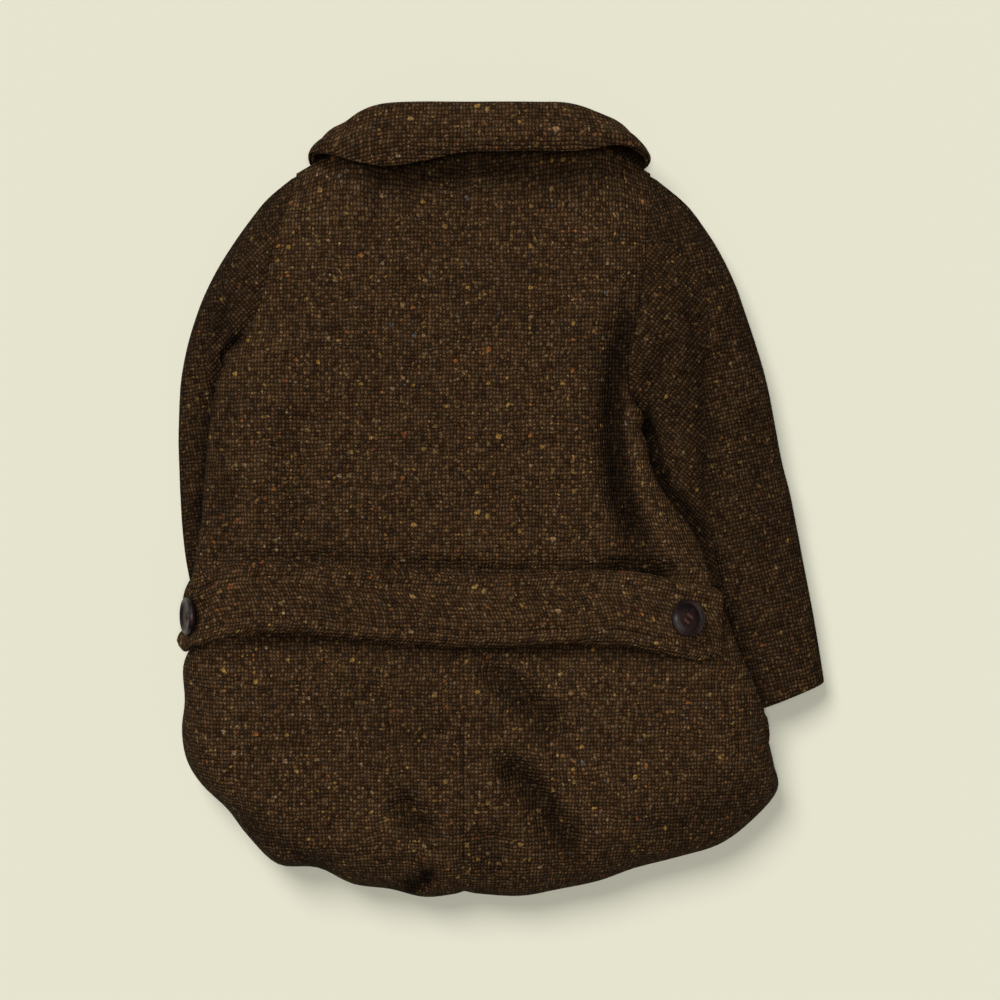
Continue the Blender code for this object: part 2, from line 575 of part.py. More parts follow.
def build_front(side, back_face, collection):
    """One front: flat on the surface, over the sleeves, the collar and the turned-up hem."""
    armhole = front_armhole(side)
    past = 1 if side == "left" else -1
    free_x = CENTRE_X + past * FRONT_OVERLAP
    underarm_y = armhole[-1, 1]
    edges = [(p[0], p[1]) for p in armhole]
    free_y = [NECK_FRONT[side][0][1] + (p[1] - armhole[0, 1]) * (NECK_FRONT[side][0][1]
              - underarm_y + 2) / (armhole[0, 1] - underarm_y) for p in armhole]
    layers = [CLOTH] * len(edges)
    for i, spine in enumerate(SPINE):
        row = edge_at(side, spine)
        inward = unit(np.array([CENTRE_X - row["x"], spine - row["y"]]))
        if UNDERARM_SPINE[side] > spine >= CORNER_SPINE[side]:
            edge = back_face[i, -1, :2] + inward * (SEAM + 0.3)
            edges.append(tuple(edge))
            free_y.append(edge[1] - 2)
            layers.append(CLOTH)
        elif CORNER_SPINE[side] > spine >= LAST_FRONT_SPINE[side]:
            edge = np.array([row["x"], row["y"]]) + inward * HEM_INSET
            edges.append(tuple(edge))
            share = (CORNER_SPINE[side] - spine) / (CORNER_SPINE[side] - LAST_FRONT_SPINE[side])
            free_y.append(free_y[-1] + (FRONT_END - free_y[-1]) * share)
            layers.append(HEM_LAYER)
    shares = 1 - (1 - np.linspace(0, 1, FRONT_COLUMNS)) ** 1.2
    plan = np.array([[[free_x + (ex - free_x) * t, fy + (ey - fy) * t] for t in shares]
                     for (ex, ey), fy in zip(edges, free_y)])
    top = resample(neckline(side), shares)
    change = top[:, :2] - plan[0]
    for i, share in enumerate(ARMHOLE_SHARES):
        plan[i] += change * (1 - ease(share / 0.5))
    layer = np.repeat(np.array(layers)[:, None], FRONT_COLUMNS, axis=1)
    height = front_height(side, plan[..., 0], plan[..., 1], layer)
    face = np.concatenate([plan, height[..., None]], axis=2)
    normals = grid_normals(face)
    normals *= -np.sign(normals[..., 2:3])
    count = len(armhole)
    normals[count:, -1] = -lift_normal(face[count:, -1, 0], face[count:, -1, 1])
    shoulder = (abs(face[0, :, 0] - CENTRE_X) >= abs(SHOULDER_START[side] - CENTRE_X) - 0.5)
    normals[0, shoulder] = (0, 1, 0)
    face[0, shoulder, 2] -= SEAM + 0.1
    inner = face - normals * layer[..., None]
    wall(f"front_{side}", face, inner, collection)
    return armhole, normals[:count, -1]


# ---------------------------------------------------------------- the sleeves
def sleeve_row(side, section):
    """The sleeve table's values at a section number, as a dictionary."""
    rows = np.array(SLEEVES[side], float)
    return {name: float(smooth(np.arange(len(rows)), rows[:, c], section))
            for c, name in enumerate(SLEEVE_COLUMNS)}


def sleeve_ring(side, section, angles):
    """Points of the sleeve's outer face round one section: arched above, flat below."""
    row = sleeve_row(side, section)
    outer = np.array([row["outer_x"], row["outer_y"]])
    inner = np.array([row["inner_x"], row["inner_y"]])
    turn = np.radians(angles)
    cosine, sine = np.cos(turn), np.sin(turn)
    above = sine >= 0
    across = np.where(above, cosine, np.sign(cosine) * np.abs(cosine) ** SLEEVE_FLAT)
    low = np.clip(1.12 * (1 - np.abs(sine) ** SLEEVE_FLAT) - 0.12, 0, 1)
    height = np.where(above, row["edge"] + (row["crest"] - row["edge"]) * np.abs(sine),
                      row["edge"] * low)
    plan = (outer + inner) / 2 + (outer - inner) / 2 * across[:, None]
    return np.column_stack([plan, height])


def rim_x(side, y):
    """x of the back's rim at y, below the underarm."""
    rows = [(row[2], row[1]) for row in EDGES[side]
            if UNDERARM_SPINE[side] >= row[0] >= CORNER_SPINE[side]]
    rows = np.array(rows[::-1], float)
    return np.interp(y, rows[:, 0], rows[:, 1])


def build_sleeve(side, back, front, collection):
    """The upper and the under sleeve, parted at the hindarm and the forearm seams."""
    back_face, back_facing = back
    armhole, armhole_facing = front
    count = sum(1 for spine in SPINE if spine >= UNDERARM_SPINE[side])
    away = -1 if side == "left" else 1
    gap = np.array([away * (SEAM + 0.1), 0, 0])
    # round the armhole: up the back from the shoulder tip to the underarm, and back in front
    hind_segments = HIND_AT[side]
    stops = []
    for k in range(count - 1):
        stops += [k, k + 0.5] if k < hind_segments else [k]
    stops.append(count - 1)
    stations = np.arange(count)
    upper = np.stack([np.interp(stops, stations, back_face[:count, -1, c])
                      for c in range(3)], axis=1)
    upper_facing = np.stack([np.interp(stops, stations, back_facing[:count, -1, c])
                             for c in range(3)], axis=1)
    loop = np.vstack([upper, armhole[::-1][:-1]]) + gap
    facing = unit(np.vstack([upper_facing, armhole_facing[::-1][:-1]]))
    corner = len(upper) - 1         # the underarm is a point on the back and one on the front
    half = 180 - UNDERARM_TURN
    shares = arc_lengths(upper) / arc_lengths(upper)[-1]
    first = np.concatenate([half * shares, 360 - half * ARMHOLE_SHARES[::-1][:-1]])
    hind = 2 * hind_segments
    fore = corner + 1 + FOREARM_AT
    total = len(first)
    sections = np.append(0, np.linspace(1.1, len(SLEEVES[side]) - 1, SLEEVE_SECTIONS - 1))
    rings = []
    for section in sections:
        seam = sleeve_row(side, section)["hind"]
        regular = np.interp(np.arange(total), [0, hind, corner, corner + 1, fore, total],
                            [0, seam, half, 360 - half, FOREARM_SEAM, 360])
        settled = ease(section / 4)
        angles = first * (1 - settled) + regular * settled
        ring = sleeve_ring(side, section, angles)
        ring += (loop - sleeve_ring(side, 0, first)) * (1 - ease(section / 3.5))
        # below the underarm it stays under the body's edge
        outside = away * (ring[:, 0] - rim_x(side, ring[:, 1]))
        roof = (lift(ring[:, 0], ring[:, 1]) - CUFF_CLEARANCE / 2
                - CLOTH * ((angles > 175) & (angles < 270)) + 4 * np.maximum(outside - 1.5, 0))
        below = (angles > 60) & (ring[:, 1] < armhole[-1, 1]) & (section > 0.2)
        ring[:, 2] = np.where(below, np.minimum(ring[:, 2], np.maximum(roof, 3)), ring[:, 2])
        rings.append(ring)
    tube = np.array(rings)
    normals = grid_normals(tube, closed=True)
    middle = tube.mean(axis=1, keepdims=True)
    if np.sum((tube - middle) * normals) < 0:
        normals = -normals
    normals[0] = facing
    pieces = {"top": np.arange(fore, total + hind + 1) % total,
              "under": np.arange(hind, fore + 1)}
    for part, columns in pieces.items():
        face, turned = tube[:, columns].copy(), normals[:, columns]
        for edge, beside in ((0, 1), (-1, -2)):
            face[:, edge] += unit(face[:, beside] - face[:, edge]) * SEAM / 2
        wall(f"sleeve_{side}_{part}", face, face - turned * CLOTH, collection)


# ---------------------------------------------------------------- the collar
def collar_section(row):
    """One section of the turned-down collar: up the stand, round the fold, down the fall."""
    neck, fold, fall = np.array(row[0:3]), np.array(row[3:6]), np.array(row[6:9])
    chord = fall - neck
    axis = unit(fold - (neck + fall) / 2)
    side = chord - (chord @ axis) * axis
    radius = min(np.linalg.norm(side) / 2, 0.75 * np.linalg.norm(fold - (neck + fall) / 2))
    side = unit(side)
    centre = fold - axis * radius
    turn = np.radians([-90, -45, 0, 45, 90])
    arc = centre + radius * (np.cos(turn)[:, None] * axis + np.sin(turn)[:, None] * side)
    arc[2] = fold
    bow = side * row[9]
    return np.vstack([neck, (neck + arc[0]) / 2, arc, arc[-1] + (fall - arc[-1]) / 3 + bow,
                      arc[-1] + (fall - arc[-1]) * 2 / 3 + bow, fall])


def build_collar(collection):
    """The two layers of the collar, one inside the other."""
    halves = {}
    for side in ("left", "right"):
        rows = np.array(COLLAR[side], float)
        at = np.linspace(0, len(rows) - 1, COLLAR_STATIONS)
        values = np.stack([smooth(np.arange(len(rows)), rows[:, c], at)
                           for c in range(len(COLLAR_COLUMNS))], axis=1)
        halves[side] = np.array([collar_section(value) for value in values])
    middle = np.concatenate([halves["left"][::-1], halves["right"][1:]])
    normals = outward(grid_normals(middle), middle, up_at=(COLLAR_STATIONS - 1, 8))
    for name, near in (("upper_collar", SEAM / 2), ("under_collar", -SEAM / 2 - COLLAR_LAYER)):
        wall(name, middle + normals * (near + COLLAR_LAYER), middle + normals * near,
             collection)


# ---------------------------------------------------------------- half belt and buttons
def build_belt(backs, collection):
    """The half belt, made from the back's points, moved out."""
    corners, faces = [], []
    for face, _ in backs.values():
        rows, columns = face.shape[:2]
        first = len(corners)
        corners += [tuple(point) for point in face.reshape(-1, 3)]
        faces += [tuple(first + n for n in (k, k + columns, k + columns + 1, k + 1))
                  for i in range(rows - 1) for k in range(i * columns, (i + 1) * columns - 1)]
    back = BVHTree.FromPolygons(corners, faces)

    def height(x, y):
        hit = back.ray_cast(Vector((max(x, BELT_DROP[-1][0]), y, 100)), Vector((0, 0, -1)))[0]
        return hit.z - np.interp(x, *zip(*BELT_DROP))

    rows = np.array(BELT, float)
    fine = np.linspace(rows[0, 0], rows[-1, 0], 400)
    middle = smooth(rows[:, 0], (rows[:, 1] + rows[:, 2]) / 2, fine)
    run = arc_lengths(np.array([(x, height(x, y)) for x, y in zip(fine, middle)]))
    stops = np.concatenate([np.linspace(0, BELT_BEND[0], BELT_BEND[1], endpoint=False),
                            np.linspace(BELT_BEND[0], run[-1], BELT_SEGMENTS)])
    at = np.interp(stops, run, fine)
    table = {name: smooth(rows[:, 0], rows[:, c], at) for c, name in enumerate(BELT_COLUMNS)}
    shares = np.linspace(0, 1, 5)
    base = np.zeros((len(at), len(shares), 3))
    stand_off = np.zeros((len(at), len(shares), 1))
    for i, x in enumerate(at):
        for j, share in enumerate(shares):
            y = table["upper"][i] * (1 - share) + table["lower"][i] * share
            shift = (rim_x("left", y) - rim_x("left", -75)) * 0.4 * float(ease((-150 - x) / 30))
            base[i, j] = x + shift, y, height(x, y)
            stand_off[i, j] = (table["upper_off"][i] * (1 - share)
                               + table["lower_off"][i] * share ** 1.5)
    # it bridges the hollows of the back, and follows it down the side
    level = at > -165
    for _ in range(6):
        z = base[..., 2]
        along, across = z.copy(), z.copy()
        along[1:-1] = (z[:-2] + z[2:]) / 2
        across[:, 1:-1] = (z[:, :-2] + z[:, 2:]) / 2
        z[level] = np.maximum(z, np.maximum(along, across))[level]
    normals = outward(grid_normals(base), base, up_at=(len(at) // 2, 2))
    under = base + normals * (BELT_REST + stand_off)
    wall("half_belt", under + normals * BELT_CLOTH, under, collection)
    return under + normals * BELT_CLOTH


def build_button(side, belt_face, collection):
    """A turned, dished button that leans on the end of the half belt."""
    x, y, lean = BELT_BUTTONS[side]
    normal = Vector((math.sin(math.radians(lean)), 0, math.cos(math.radians(lean))))
    facing = np.array(normal)
    rows, columns = belt_face.shape[:2]
    u, v = np.meshgrid(np.linspace(0, rows - 1.001, 8 * rows), np.linspace(0, columns - 1.001, 24),
                       indexing="ij")
    a, b = u.astype(int), v.astype(int)
    s, t = (u - a)[..., None], (v - b)[..., None]
    fine = ((belt_face[a, b] * (1 - t) + belt_face[a, b + 1] * t) * (1 - s)
            + (belt_face[a + 1, b] * (1 - t) + belt_face[a + 1, b + 1] * t) * s)
    # from its place on the belt it moves out until its back and its rim are clear all round
    radius = BUTTON_DIAMETER / 2
    nearest = np.hypot(fine[..., 0] - x, fine[..., 1] - y)
    start = fine[np.unravel_index(np.argmin(nearest), nearest.shape)]
    for distance in np.arange(-3, 15, 0.05):
        back = start + facing * distance
        over = (fine - back) @ facing
        aside = np.linalg.norm(fine - back - over[..., None] * facing, axis=-1)
        room = np.interp(aside, [0.74 * radius, 0.96 * radius, 1.02 * radius, 1.05 * radius],
                         [0, 0.2 * BUTTON_THICKNESS, 0.6 * BUTTON_THICKNESS, 99])
        if np.max((over - room)[over < 25]) < -BUTTON_REST:
            break
    mesh = bpy.data.meshes.new(f"belt_button_{side}")
    profile = [(radius * across, BUTTON_THICKNESS * up) for across, up in BUTTON_PROFILE]
    mesh.from_pydata([(r * MM, 0, z * MM) for r, z in profile],
                     [(k, k + 1) for k in range(len(profile) - 1)], [])
    button = bpy.data.objects.new(f"belt_button_{side}", mesh)
    button.location = Vector((back - ORIGIN) * MM)
    button.rotation_euler = normal.to_track_quat("Z", "Y").to_euler()
    button.data.materials.append(finish(button.name, HORN, 0.35))
    collection.objects.link(button)
    turned = button.modifiers.new("Turned", "SCREW")
    turned.axis = "Z"
    turned.angle = math.radians(360)
    turned.steps = turned.render_steps = 24
    turned.use_merge_vertices = True
    turned.merge_threshold = 0.00001
    turned.use_smooth_shade = True
    return button


def main():
    for old in list(bpy.data.objects):
        bpy.data.objects.remove(old, do_unlink=True)
    coat = bpy.data.collections.new("swing coat")
    bpy.context.scene.collection.children.link(coat)
    backs = build_back(coat)
    for side in ("left", "right"):
        front = build_front(side, backs[side][0], coat)
        build_sleeve(side, backs[side], front, coat)
    build_collar(coat)
    belt_face = build_belt(backs, coat)
    for side in ("left", "right"):
        build_button(side, belt_face, coat)


main()
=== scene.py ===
"""Looks of a child's swing coat in chunky flecked tweed, laid back up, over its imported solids.

Run it as a script in Blender: it adds the cloth, the half belt's buttons with their thread, the
floor, the lights and the camera.  The tables are in millimetres, in the places that the solids have
before the coat's base is centred; meshes are in metres.
"""
import math
from functools import cache, partial

import bmesh
import bpy
import numpy as np
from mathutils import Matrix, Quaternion, Vector
from mathutils.bvhtree import BVHTree


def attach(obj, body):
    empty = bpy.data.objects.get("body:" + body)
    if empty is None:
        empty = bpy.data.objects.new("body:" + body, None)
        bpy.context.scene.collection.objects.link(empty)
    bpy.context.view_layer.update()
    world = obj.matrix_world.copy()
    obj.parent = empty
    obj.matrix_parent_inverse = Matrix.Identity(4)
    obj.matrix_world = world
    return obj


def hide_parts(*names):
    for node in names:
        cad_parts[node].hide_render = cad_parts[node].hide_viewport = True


bl_info = {
    "name": "Swing coat",
    "version": (1, 0, 0),
    "blender": (4, 5, 0),
    "location": "3D View > Sidebar > Coat",
    "description": "Dresses the solids of a child's tweed swing coat that lies back up",
    "category": "Add Mesh",
}

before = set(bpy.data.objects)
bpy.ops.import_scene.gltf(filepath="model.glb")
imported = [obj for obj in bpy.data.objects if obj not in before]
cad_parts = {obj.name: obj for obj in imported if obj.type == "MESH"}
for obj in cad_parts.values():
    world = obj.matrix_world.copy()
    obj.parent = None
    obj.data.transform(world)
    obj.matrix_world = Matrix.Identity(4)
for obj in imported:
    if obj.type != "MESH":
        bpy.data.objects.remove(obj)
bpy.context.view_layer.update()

MM = 0.001                  # metres in a millimetre
ORIGIN = np.array([0.787, -1.260, 0.0])     # middle of the coat's base, in the tables' places

# ---------------------------------------------------------------- driving sizes, millimetres
CLOTH = 2.2                 # thickness of one layer of the tweed
SEAM = 0.3                  # parting between two pieces at a seam
COLLAR_LAYER = 2.0          # thickness of one layer of the collar
BELT_CLOTH = 4.2            # half belt: two layers and their turnings
BELT_REST = 0.8             # parting between the half belt and the back
BUTTON_DIAMETER = 23.0
BUTTON_THICKNESS = 4.6
CENTRE_X = -22.0            # centre-back seam
FRONT_OVERLAP = 20.0        # each front passes the centre by this much
CUFF_CLEARANCE = 1.2        # room between a tucked sleeve and the front that lies on it
HEM_INSET = 16.0            # the fronts end this far inside the folded lower edge
COLLAR_ROOM = 5.4           # the fronts ride this high over the collar that lies under them
HEM_ROOM = 2.8              # and this high over the hem that is turned under them
HEM_START = -128.0          # y below which they do
HEM_RAMP = 16.0             # over this length
HEM_LAYER = 4.6             # thickness of the fronts there, where they are folded double
OVERLAP_REST = 1.4          # parting between the two fronts where they overlap
OVERLAP_RAMP = 16.0         # the upper one climbs over the lower within this width
COLLAR_UNDER = (65.0, 45.0)     # y from which the fronts rise over the collar, and over what length
FLOOR_GAP = 0.03            # lowest height of any point
RIB_SAMPLES = 160           # points along a rib of the back before it is spaced out,
RIB_CROWDING = 1.3          # closer together towards the edge
FRONT_CROWDING = 1.2        # and those across a front
SETTLING = 32.0             # below the underarm the edge turns from seam to roll over this length
SHOULDER_REACH = 42.0       # the neck and shoulder edge bends the ribs over this length
CREASE_STORE = 0.01         # the creases' share is stored this small, to add nothing to lengths
FRONT_END = -227.0          # y of their lower end at the centre

# Spine: where the ribs of the back leave the centre-back seam (y), from neck to lower fold
SPINE = [215.5, 203, 190, 175, 160, 145, 130, 115, 102, 90, 76, 64, 52, 38, 22, 5, -12, -28,
         -40, -50, -60, -68, -77, -84, -91, -97, -103, -108, -113, -117, -121, -124, -127, -130]

# Height of the back along the centre, by y
CROWN = [(216, 48), (190, 52), (120, 55), (50, 56), (-20, 55), (-75, 54), (-130, 57),
         (-180, 56), (-215, 52), (-243, 48)]

# Edge of the back, one row for each place along it:
# spine  y where that rib leaves the centre        x, y   place of the edge in plan
# edge   height of the edge                        reach  width over which the cloth rounds down
# bend   1 = slopes into a seam, 2 = rolls over    under  how far it rolls in below the edge
# tuck   how far it then runs on underneath
EDGE_COLUMNS = ("spine", "x", "y", "edge", "reach", "bend", "under", "tuck")
LEFT_EDGE = [
    (215.5, -126, 202, 24, 70, 2.0, 0, 0),      # shoulder tip
    (190, -133, 176, 38, 60, 1.1, 0, 0),
    (167, -139, 155, 43, 55, 1.0, 0, 0),
    (143, -144, 133, 44, 50, 1.0, 0, 0),        # back of the armhole
    (122, -150, 114, 42, 46, 1.1, 0, 0),
    (106, -159, 101, 39, 42, 1.3, 0, 0),
    (90, -170, 88, 37, 40, 1.7, 0, 0),          # underarm
    (68, -175, 67, 36, 42, 2.0, 6, 6),
    (43, -179, 43, 35, 45, 2.0, 6, 8),
    (10, -182, 12, 35, 45, 2.0, 6, 8),
    (-20, -185, -25, 35, 42, 2.0, 6, 8),
    (-40, -190, -53, 30, 32, 2.0, 7, 8),
    (-54, -182.5, -75, 24, 20, 2.6, 6, 8),      # end of the half belt
    (-65, -195, -96, 24, 30, 2.0, 10, 8),
    (-77, -195, -124, 24, 36, 2.0, 12, 10),
    (-83, -197, -140, 22, 38, 2.0, 14, 12),
    (-91, -194, -161, 20, 38, 2.0, 15, 20),     # lower corner
    (-96, -187, -174, 18, 34, 2.0, 14, 28),
    (-101, -174, -186, 15, 26, 2.0, 11, 34),
    (-107, -159, -205, 12, 20, 2.0, 9, 38),
    (-112, -144, -223, 12, 20, 2.0, 9, 40),
    (-115, -124, -230, 14, 24, 2.0, 10, 42),
    (-118, -108, -228, 18, 30, 2.0, 13, 44),
    (-120, -98, -236, 19, 34, 2.0, 14, 46),
    (-124, -68, -241, 20, 36, 2.0, 15, 46),
    (-126, -55, -247, 20, 36, 2.0, 15, 46),
    (-128, -37, -244, 21, 40, 2.0, 15, 46),
    (-130, -22, -243, 22, 42, 2.0, 15, 46),     # centre back, on the lower fold
]
RIGHT_EDGE = [
    (215.5, 93, 202, 24, 60, 2.0, 0, 0),        # shoulder tip
    (187, 93, 176, 38, 50, 1.1, 0, 0),
    (161, 90, 152, 44, 45, 1.0, 0, 0),
    (138, 87, 130, 46, 42, 1.0, 0, 0),
    (112, 83, 105, 46, 40, 1.0, 0, 0),          # back of the armhole
    (87, 79, 80, 44, 36, 1.1, 0, 0),
    (70, 81, 65, 41, 34, 1.4, 0, 0),
    (52, 89, 50, 38.5, 34, 1.8, 0, 0),          # underarm
    (33, 91, 31, 38.5, 34, 2.0, 5, 6),
    (8, 99, 7, 39, 34, 2.0, 6, 8),
    (-4, 113, -9, 40, 34, 2.0, 6, 8),
    (-17, 123, -28, 40, 38, 1.9, 6, 8),
    (-35, 132, -53, 39, 46, 1.7, 6, 8),
    (-50, 141, -75, 38, 50, 1.6, 6, 8),         # end of the half belt
    (-62, 149, -96, 37, 52, 1.6, 6, 8),
    (-72, 159, -117, 34, 54, 1.7, 7, 10),
    (-80, 164, -134, 29, 55, 1.8, 9, 12),
    (-89, 167, -158, 21, 56, 1.9, 13, 16),      # lower corner
    (-93, 172, -168, 17, 56, 2.0, 12, 20),
    (-98, 171, -183, 16, 58, 2.0, 12, 26),
    (-103, 156, -199, 17, 60, 2.0, 13, 32),
    (-107, 141, -211, 18, 62, 2.0, 13, 38),
    (-110, 124, -218, 19, 60, 2.0, 14, 42),
    (-114, 103, -223, 19, 55, 2.0, 14, 44),
    (-118, 77, -230, 20, 50, 2.0, 15, 46),
    (-121, 61, -236, 20, 46, 2.0, 15, 46),
    (-124, 37, -241, 20, 44, 2.0, 15, 46),
    (-126, 22, -246, 20, 40, 2.0, 15, 46),
    (-128.5, -6, -243, 21, 40, 2.0, 15, 46),
    (-130, -22, -243, 22, 42, 2.0, 15, 46),     # centre back, on the lower fold
]
UNDERARM_SPINE = {"left": 90, "right": 52}
CORNER_SPINE = {"left": -91, "right": -91}      # below this rib the fronts ride over the hem
LAST_FRONT_SPINE = {"left": -113, "right": -108}

# Neck and shoulder edge of the back, from the centre to the shoulder tip: (x, y, z)
NECK_BACK = {
    "left": [(-22, 215.5, 48), (-62, 216.5, 46.5), (-84, 218, 42), (-98, 216.5, 35),
             (-126, 202, 24)],
    "right": [(-22, 215.5, 48), (22, 216.5, 47), (48, 218, 44), (64, 217.5, 37),
              (93, 202, 24)],
}
# Neckline of the fronts, from where they overlap to the same shoulder point and tip
NECK_FRONT = {
    "left": [(-46, 155.5, 11), (-68, 168.5, 13), (-85, 185, 16), (-95, 203, 23),
             (-98, 216.5, 35), (-126, 202, 24)],
    "right": [(-2, 155.5, 11), (28, 167, 13), (52, 185, 16), (62, 203, 23),
              (64, 217.5, 37), (93, 202, 24)],
}
NECK_ROLL = 16.0                                # the fronts come down over this width below it
SHOULDER_START = {"left": -98, "right": 64}     # x where the shoulder seam meets the neck

# Front half of the armhole, from the shoulder tip to the underarm: (x, y)
ARMHOLE_FRONT = {
    "left": [(-126, 202), (-127, 178), (-128, 150), (-133, 122), (-148, 103), (-170, 88)],
    "right": [(93, 202), (90, 175), (84, 140), (74, 105), (72, 75), (89, 50)],
}

# Sleeves, one row for each section from the armhole to the cuff:
# outer x, y and inner x, y: the two folds of the sleeve in plan     edge: height of the folds
# crest: height of the top      hind: angle of the hindarm seam, 0 at the outer fold, 90 on top
SLEEVE_COLUMNS = ("outer_x", "outer_y", "inner_x", "inner_y", "edge", "crest", "hind")
SLEEVES = {
    "left": [
        (-126, 202, -170, 88, 20, 40, 40),      # armhole
        (-142, 189, -170, 86, 19, 40, 48),
        (-160, 167, -169.5, 84, 18, 39, 58),
        (-176, 142, -168.5, 81, 17, 36, 66),
        (-188, 116, -166, 76.5, 16, 32, 72),
        (-195.5, 90, -159, 70, 15, 28, 76),
        (-199, 66, -142, 60, 14, 26, 80),       # upper arm
        (-200, 36, -123, 40, 13, 25, 84),
        (-199, 6, -116, 4, 13, 25, 86),
        (-197, -25, -115, -30, 13, 25, 86),
        (-192, -56, -114, -62, 12, 25, 86),
        (-184, -87, -112, -93, 12, 24, 86),
        (-177, -115, -110, -124, 11, 23, 86),   # cuff
    ],
    "right": [
        (93, 202, 89, 50, 20, 42, 34),          # armhole
        (113, 186, 89, 48, 19, 43, 44),
        (132, 161, 88.5, 43.5, 18, 42, 56),
        (145, 136, 88, 39, 18, 40, 68),
        (154, 111, 87, 34, 17, 37, 80),
        (162, 86, 86, 29.5, 17, 35, 88),
        (168, 62, 85, 26, 17, 34, 90),          # upper arm
        (173.5, 31, 85, 12, 16, 34, 95),
        (181, 0, 90, -16, 16, 34, 100),
        (187, -31, 99, -47, 15, 33, 102),
        (193, -62, 110, -80, 15, 32, 104),
        (197.5, -87, 120, -107, 14, 30, 104),
        (201.5, -112, 131, -139, 14, 29, 104),  # cuff
    ],
}
SLEEVE_AXIS_FROM = 5        # the fronts are lifted by the sleeve from this section on
SLEEVE_SKIRT = 22.0         # and come down again over this width beside it
SLEEVE_ENDS = (18.0, 28.0)  # and over this length towards the underarm, and past the cuff
CUFF_EDGE = 6.0             # it only comes down from this far past the cuff
LIFT_CURVE = (3, 1.2)       # powers that shape how it comes down: flat on top, then steep
SLEEVE_SECTIONS = 18        # grid rows along a sleeve
UNDERARM_TURN = 8.0         # degrees either side of the fold that the underarm takes up
SLEEVE_FLAT = 2 / 3.5       # how square the sleeve's underside is
ARMHOLE_SHARES = np.array([0, 0.04, 0.09, 0.16, 0.28, 0.42, 0.57, 0.72, 0.86, 1.0])
HIND_AT = {"left": 2, "right": 3}               # rib of the back where the hindarm seam starts
FOREARM_AT = 4              # and the forearm seam, counted from the underarm
FRONT_COLUMNS = 12          # grid columns across a front
COLLAR_STATIONS = 17        # grid rows from the centre back to a front end of the collar
BELT_SEGMENTS = 24
FOREARM_SEAM = 270.0        # angle of the forearm seam, under the sleeve

# A crease runs out over this share of its length at each end, to this share of its depth
CREASE_ENDS = (0.15, 0.25)
# Creases of the back: width and depth (a ridge has a minus), then its line in plan
CREASES = [
    (7.0, 5.0, [(84, 118), (71, 86), (69, 49), (73, 6), (82, -22), (94, -46)]),
    (9.0, -2.0, [(84, 60), (88, 20), (100, -20), (112, -44)]),
    (5.0, 4.0, [(62, -45), (84, -47), (104, -50)]),
    (8.0, 2.5, [(-12, -99), (25, -130), (37, -149)]),
    (9.0, 3.0, [(0, -158), (25, -180), (46, -217)]),
    (8.0, 2.0, [(-62, -180), (-43, -205)]),
    (5.0, 5.0, [(-60, -238), (-50, -235), (-40, -227)]),
    (12.0, 4.0, [(-3, -200), (-5, -232)]),
    (8.0, -2.5, [(-31, -214), (-33, -234)]),
    (6.0, 3.0, [(-160, 20), (-166, -10), (-172, -40)]),
    # finer ones, and deeper beds for some of the above
    (15.0, 4.4, [(-98, 196), (-60, 199), (-22, 202), (20, 200), (58, 194)]),   # under the collar
    (10.0, 4.6, [(86, 128), (74, 98), (69, 50), (73, 8), (86, -28)]),    # beside the right arm
    (7.0, -4.0, [(80, 62), (84, 28), (93, -8), (110, -38)]),            # roll next to it
    (4.5, 3.6, [(-176, -37), (-130, -35), (-62, -40), (0, -43), (60, -42), (100, -46)]),
    (5.0, 4.6, [(-172, -92), (-130, -84), (-62, -89), (0, -92), (75, -91), (128, -100)]),
    (7.0, 4.4, [(66, -36), (88, -40), (108, -47)]),                     # above the half belt
    (11.0, 3.0, [(-12, -98), (8, -114), (25, -130), (37, -150)]),       # folds of the skirt
    (8.0, -1.6, [(4, -96), (26, -112), (46, -132)]),
    (9.0, 3.4, [(-2, -156), (22, -178), (48, -220)]),
    (9.0, -1.8, [(18, -158), (46, -186), (68, -214)]),
    (8.0, 3.0, [(-64, -178), (-50, -196), (-42, -208)]),
    (7.0, -1.5, [(-84, -186), (-66, -204), (-52, -218)]),
    (4.5, 6.0, [(-62, -242), (-50, -238), (-40, -229)]),
    (6.0, 4.2, [(-161, -196), (-140, -208), (-118, -222), (-104, -230)]),
    (12.0, 3.0, [(92, -208), (120, -196), (150, -184), (166, -176)]),
    (14.0, 1.8, [(-100, -120), (-60, -135), (-30, -150)]),
    (7.0, 2.4, [(-168, 66), (-172, 30), (-174, -10)]),                  # by the left arm
    (12.0, 1.6, [(-120, 60), (-128, 10), (-120, -30)]),
    (3.5, 4.5, [(-156, 104), (-163, 96), (-170, 87)]),
]

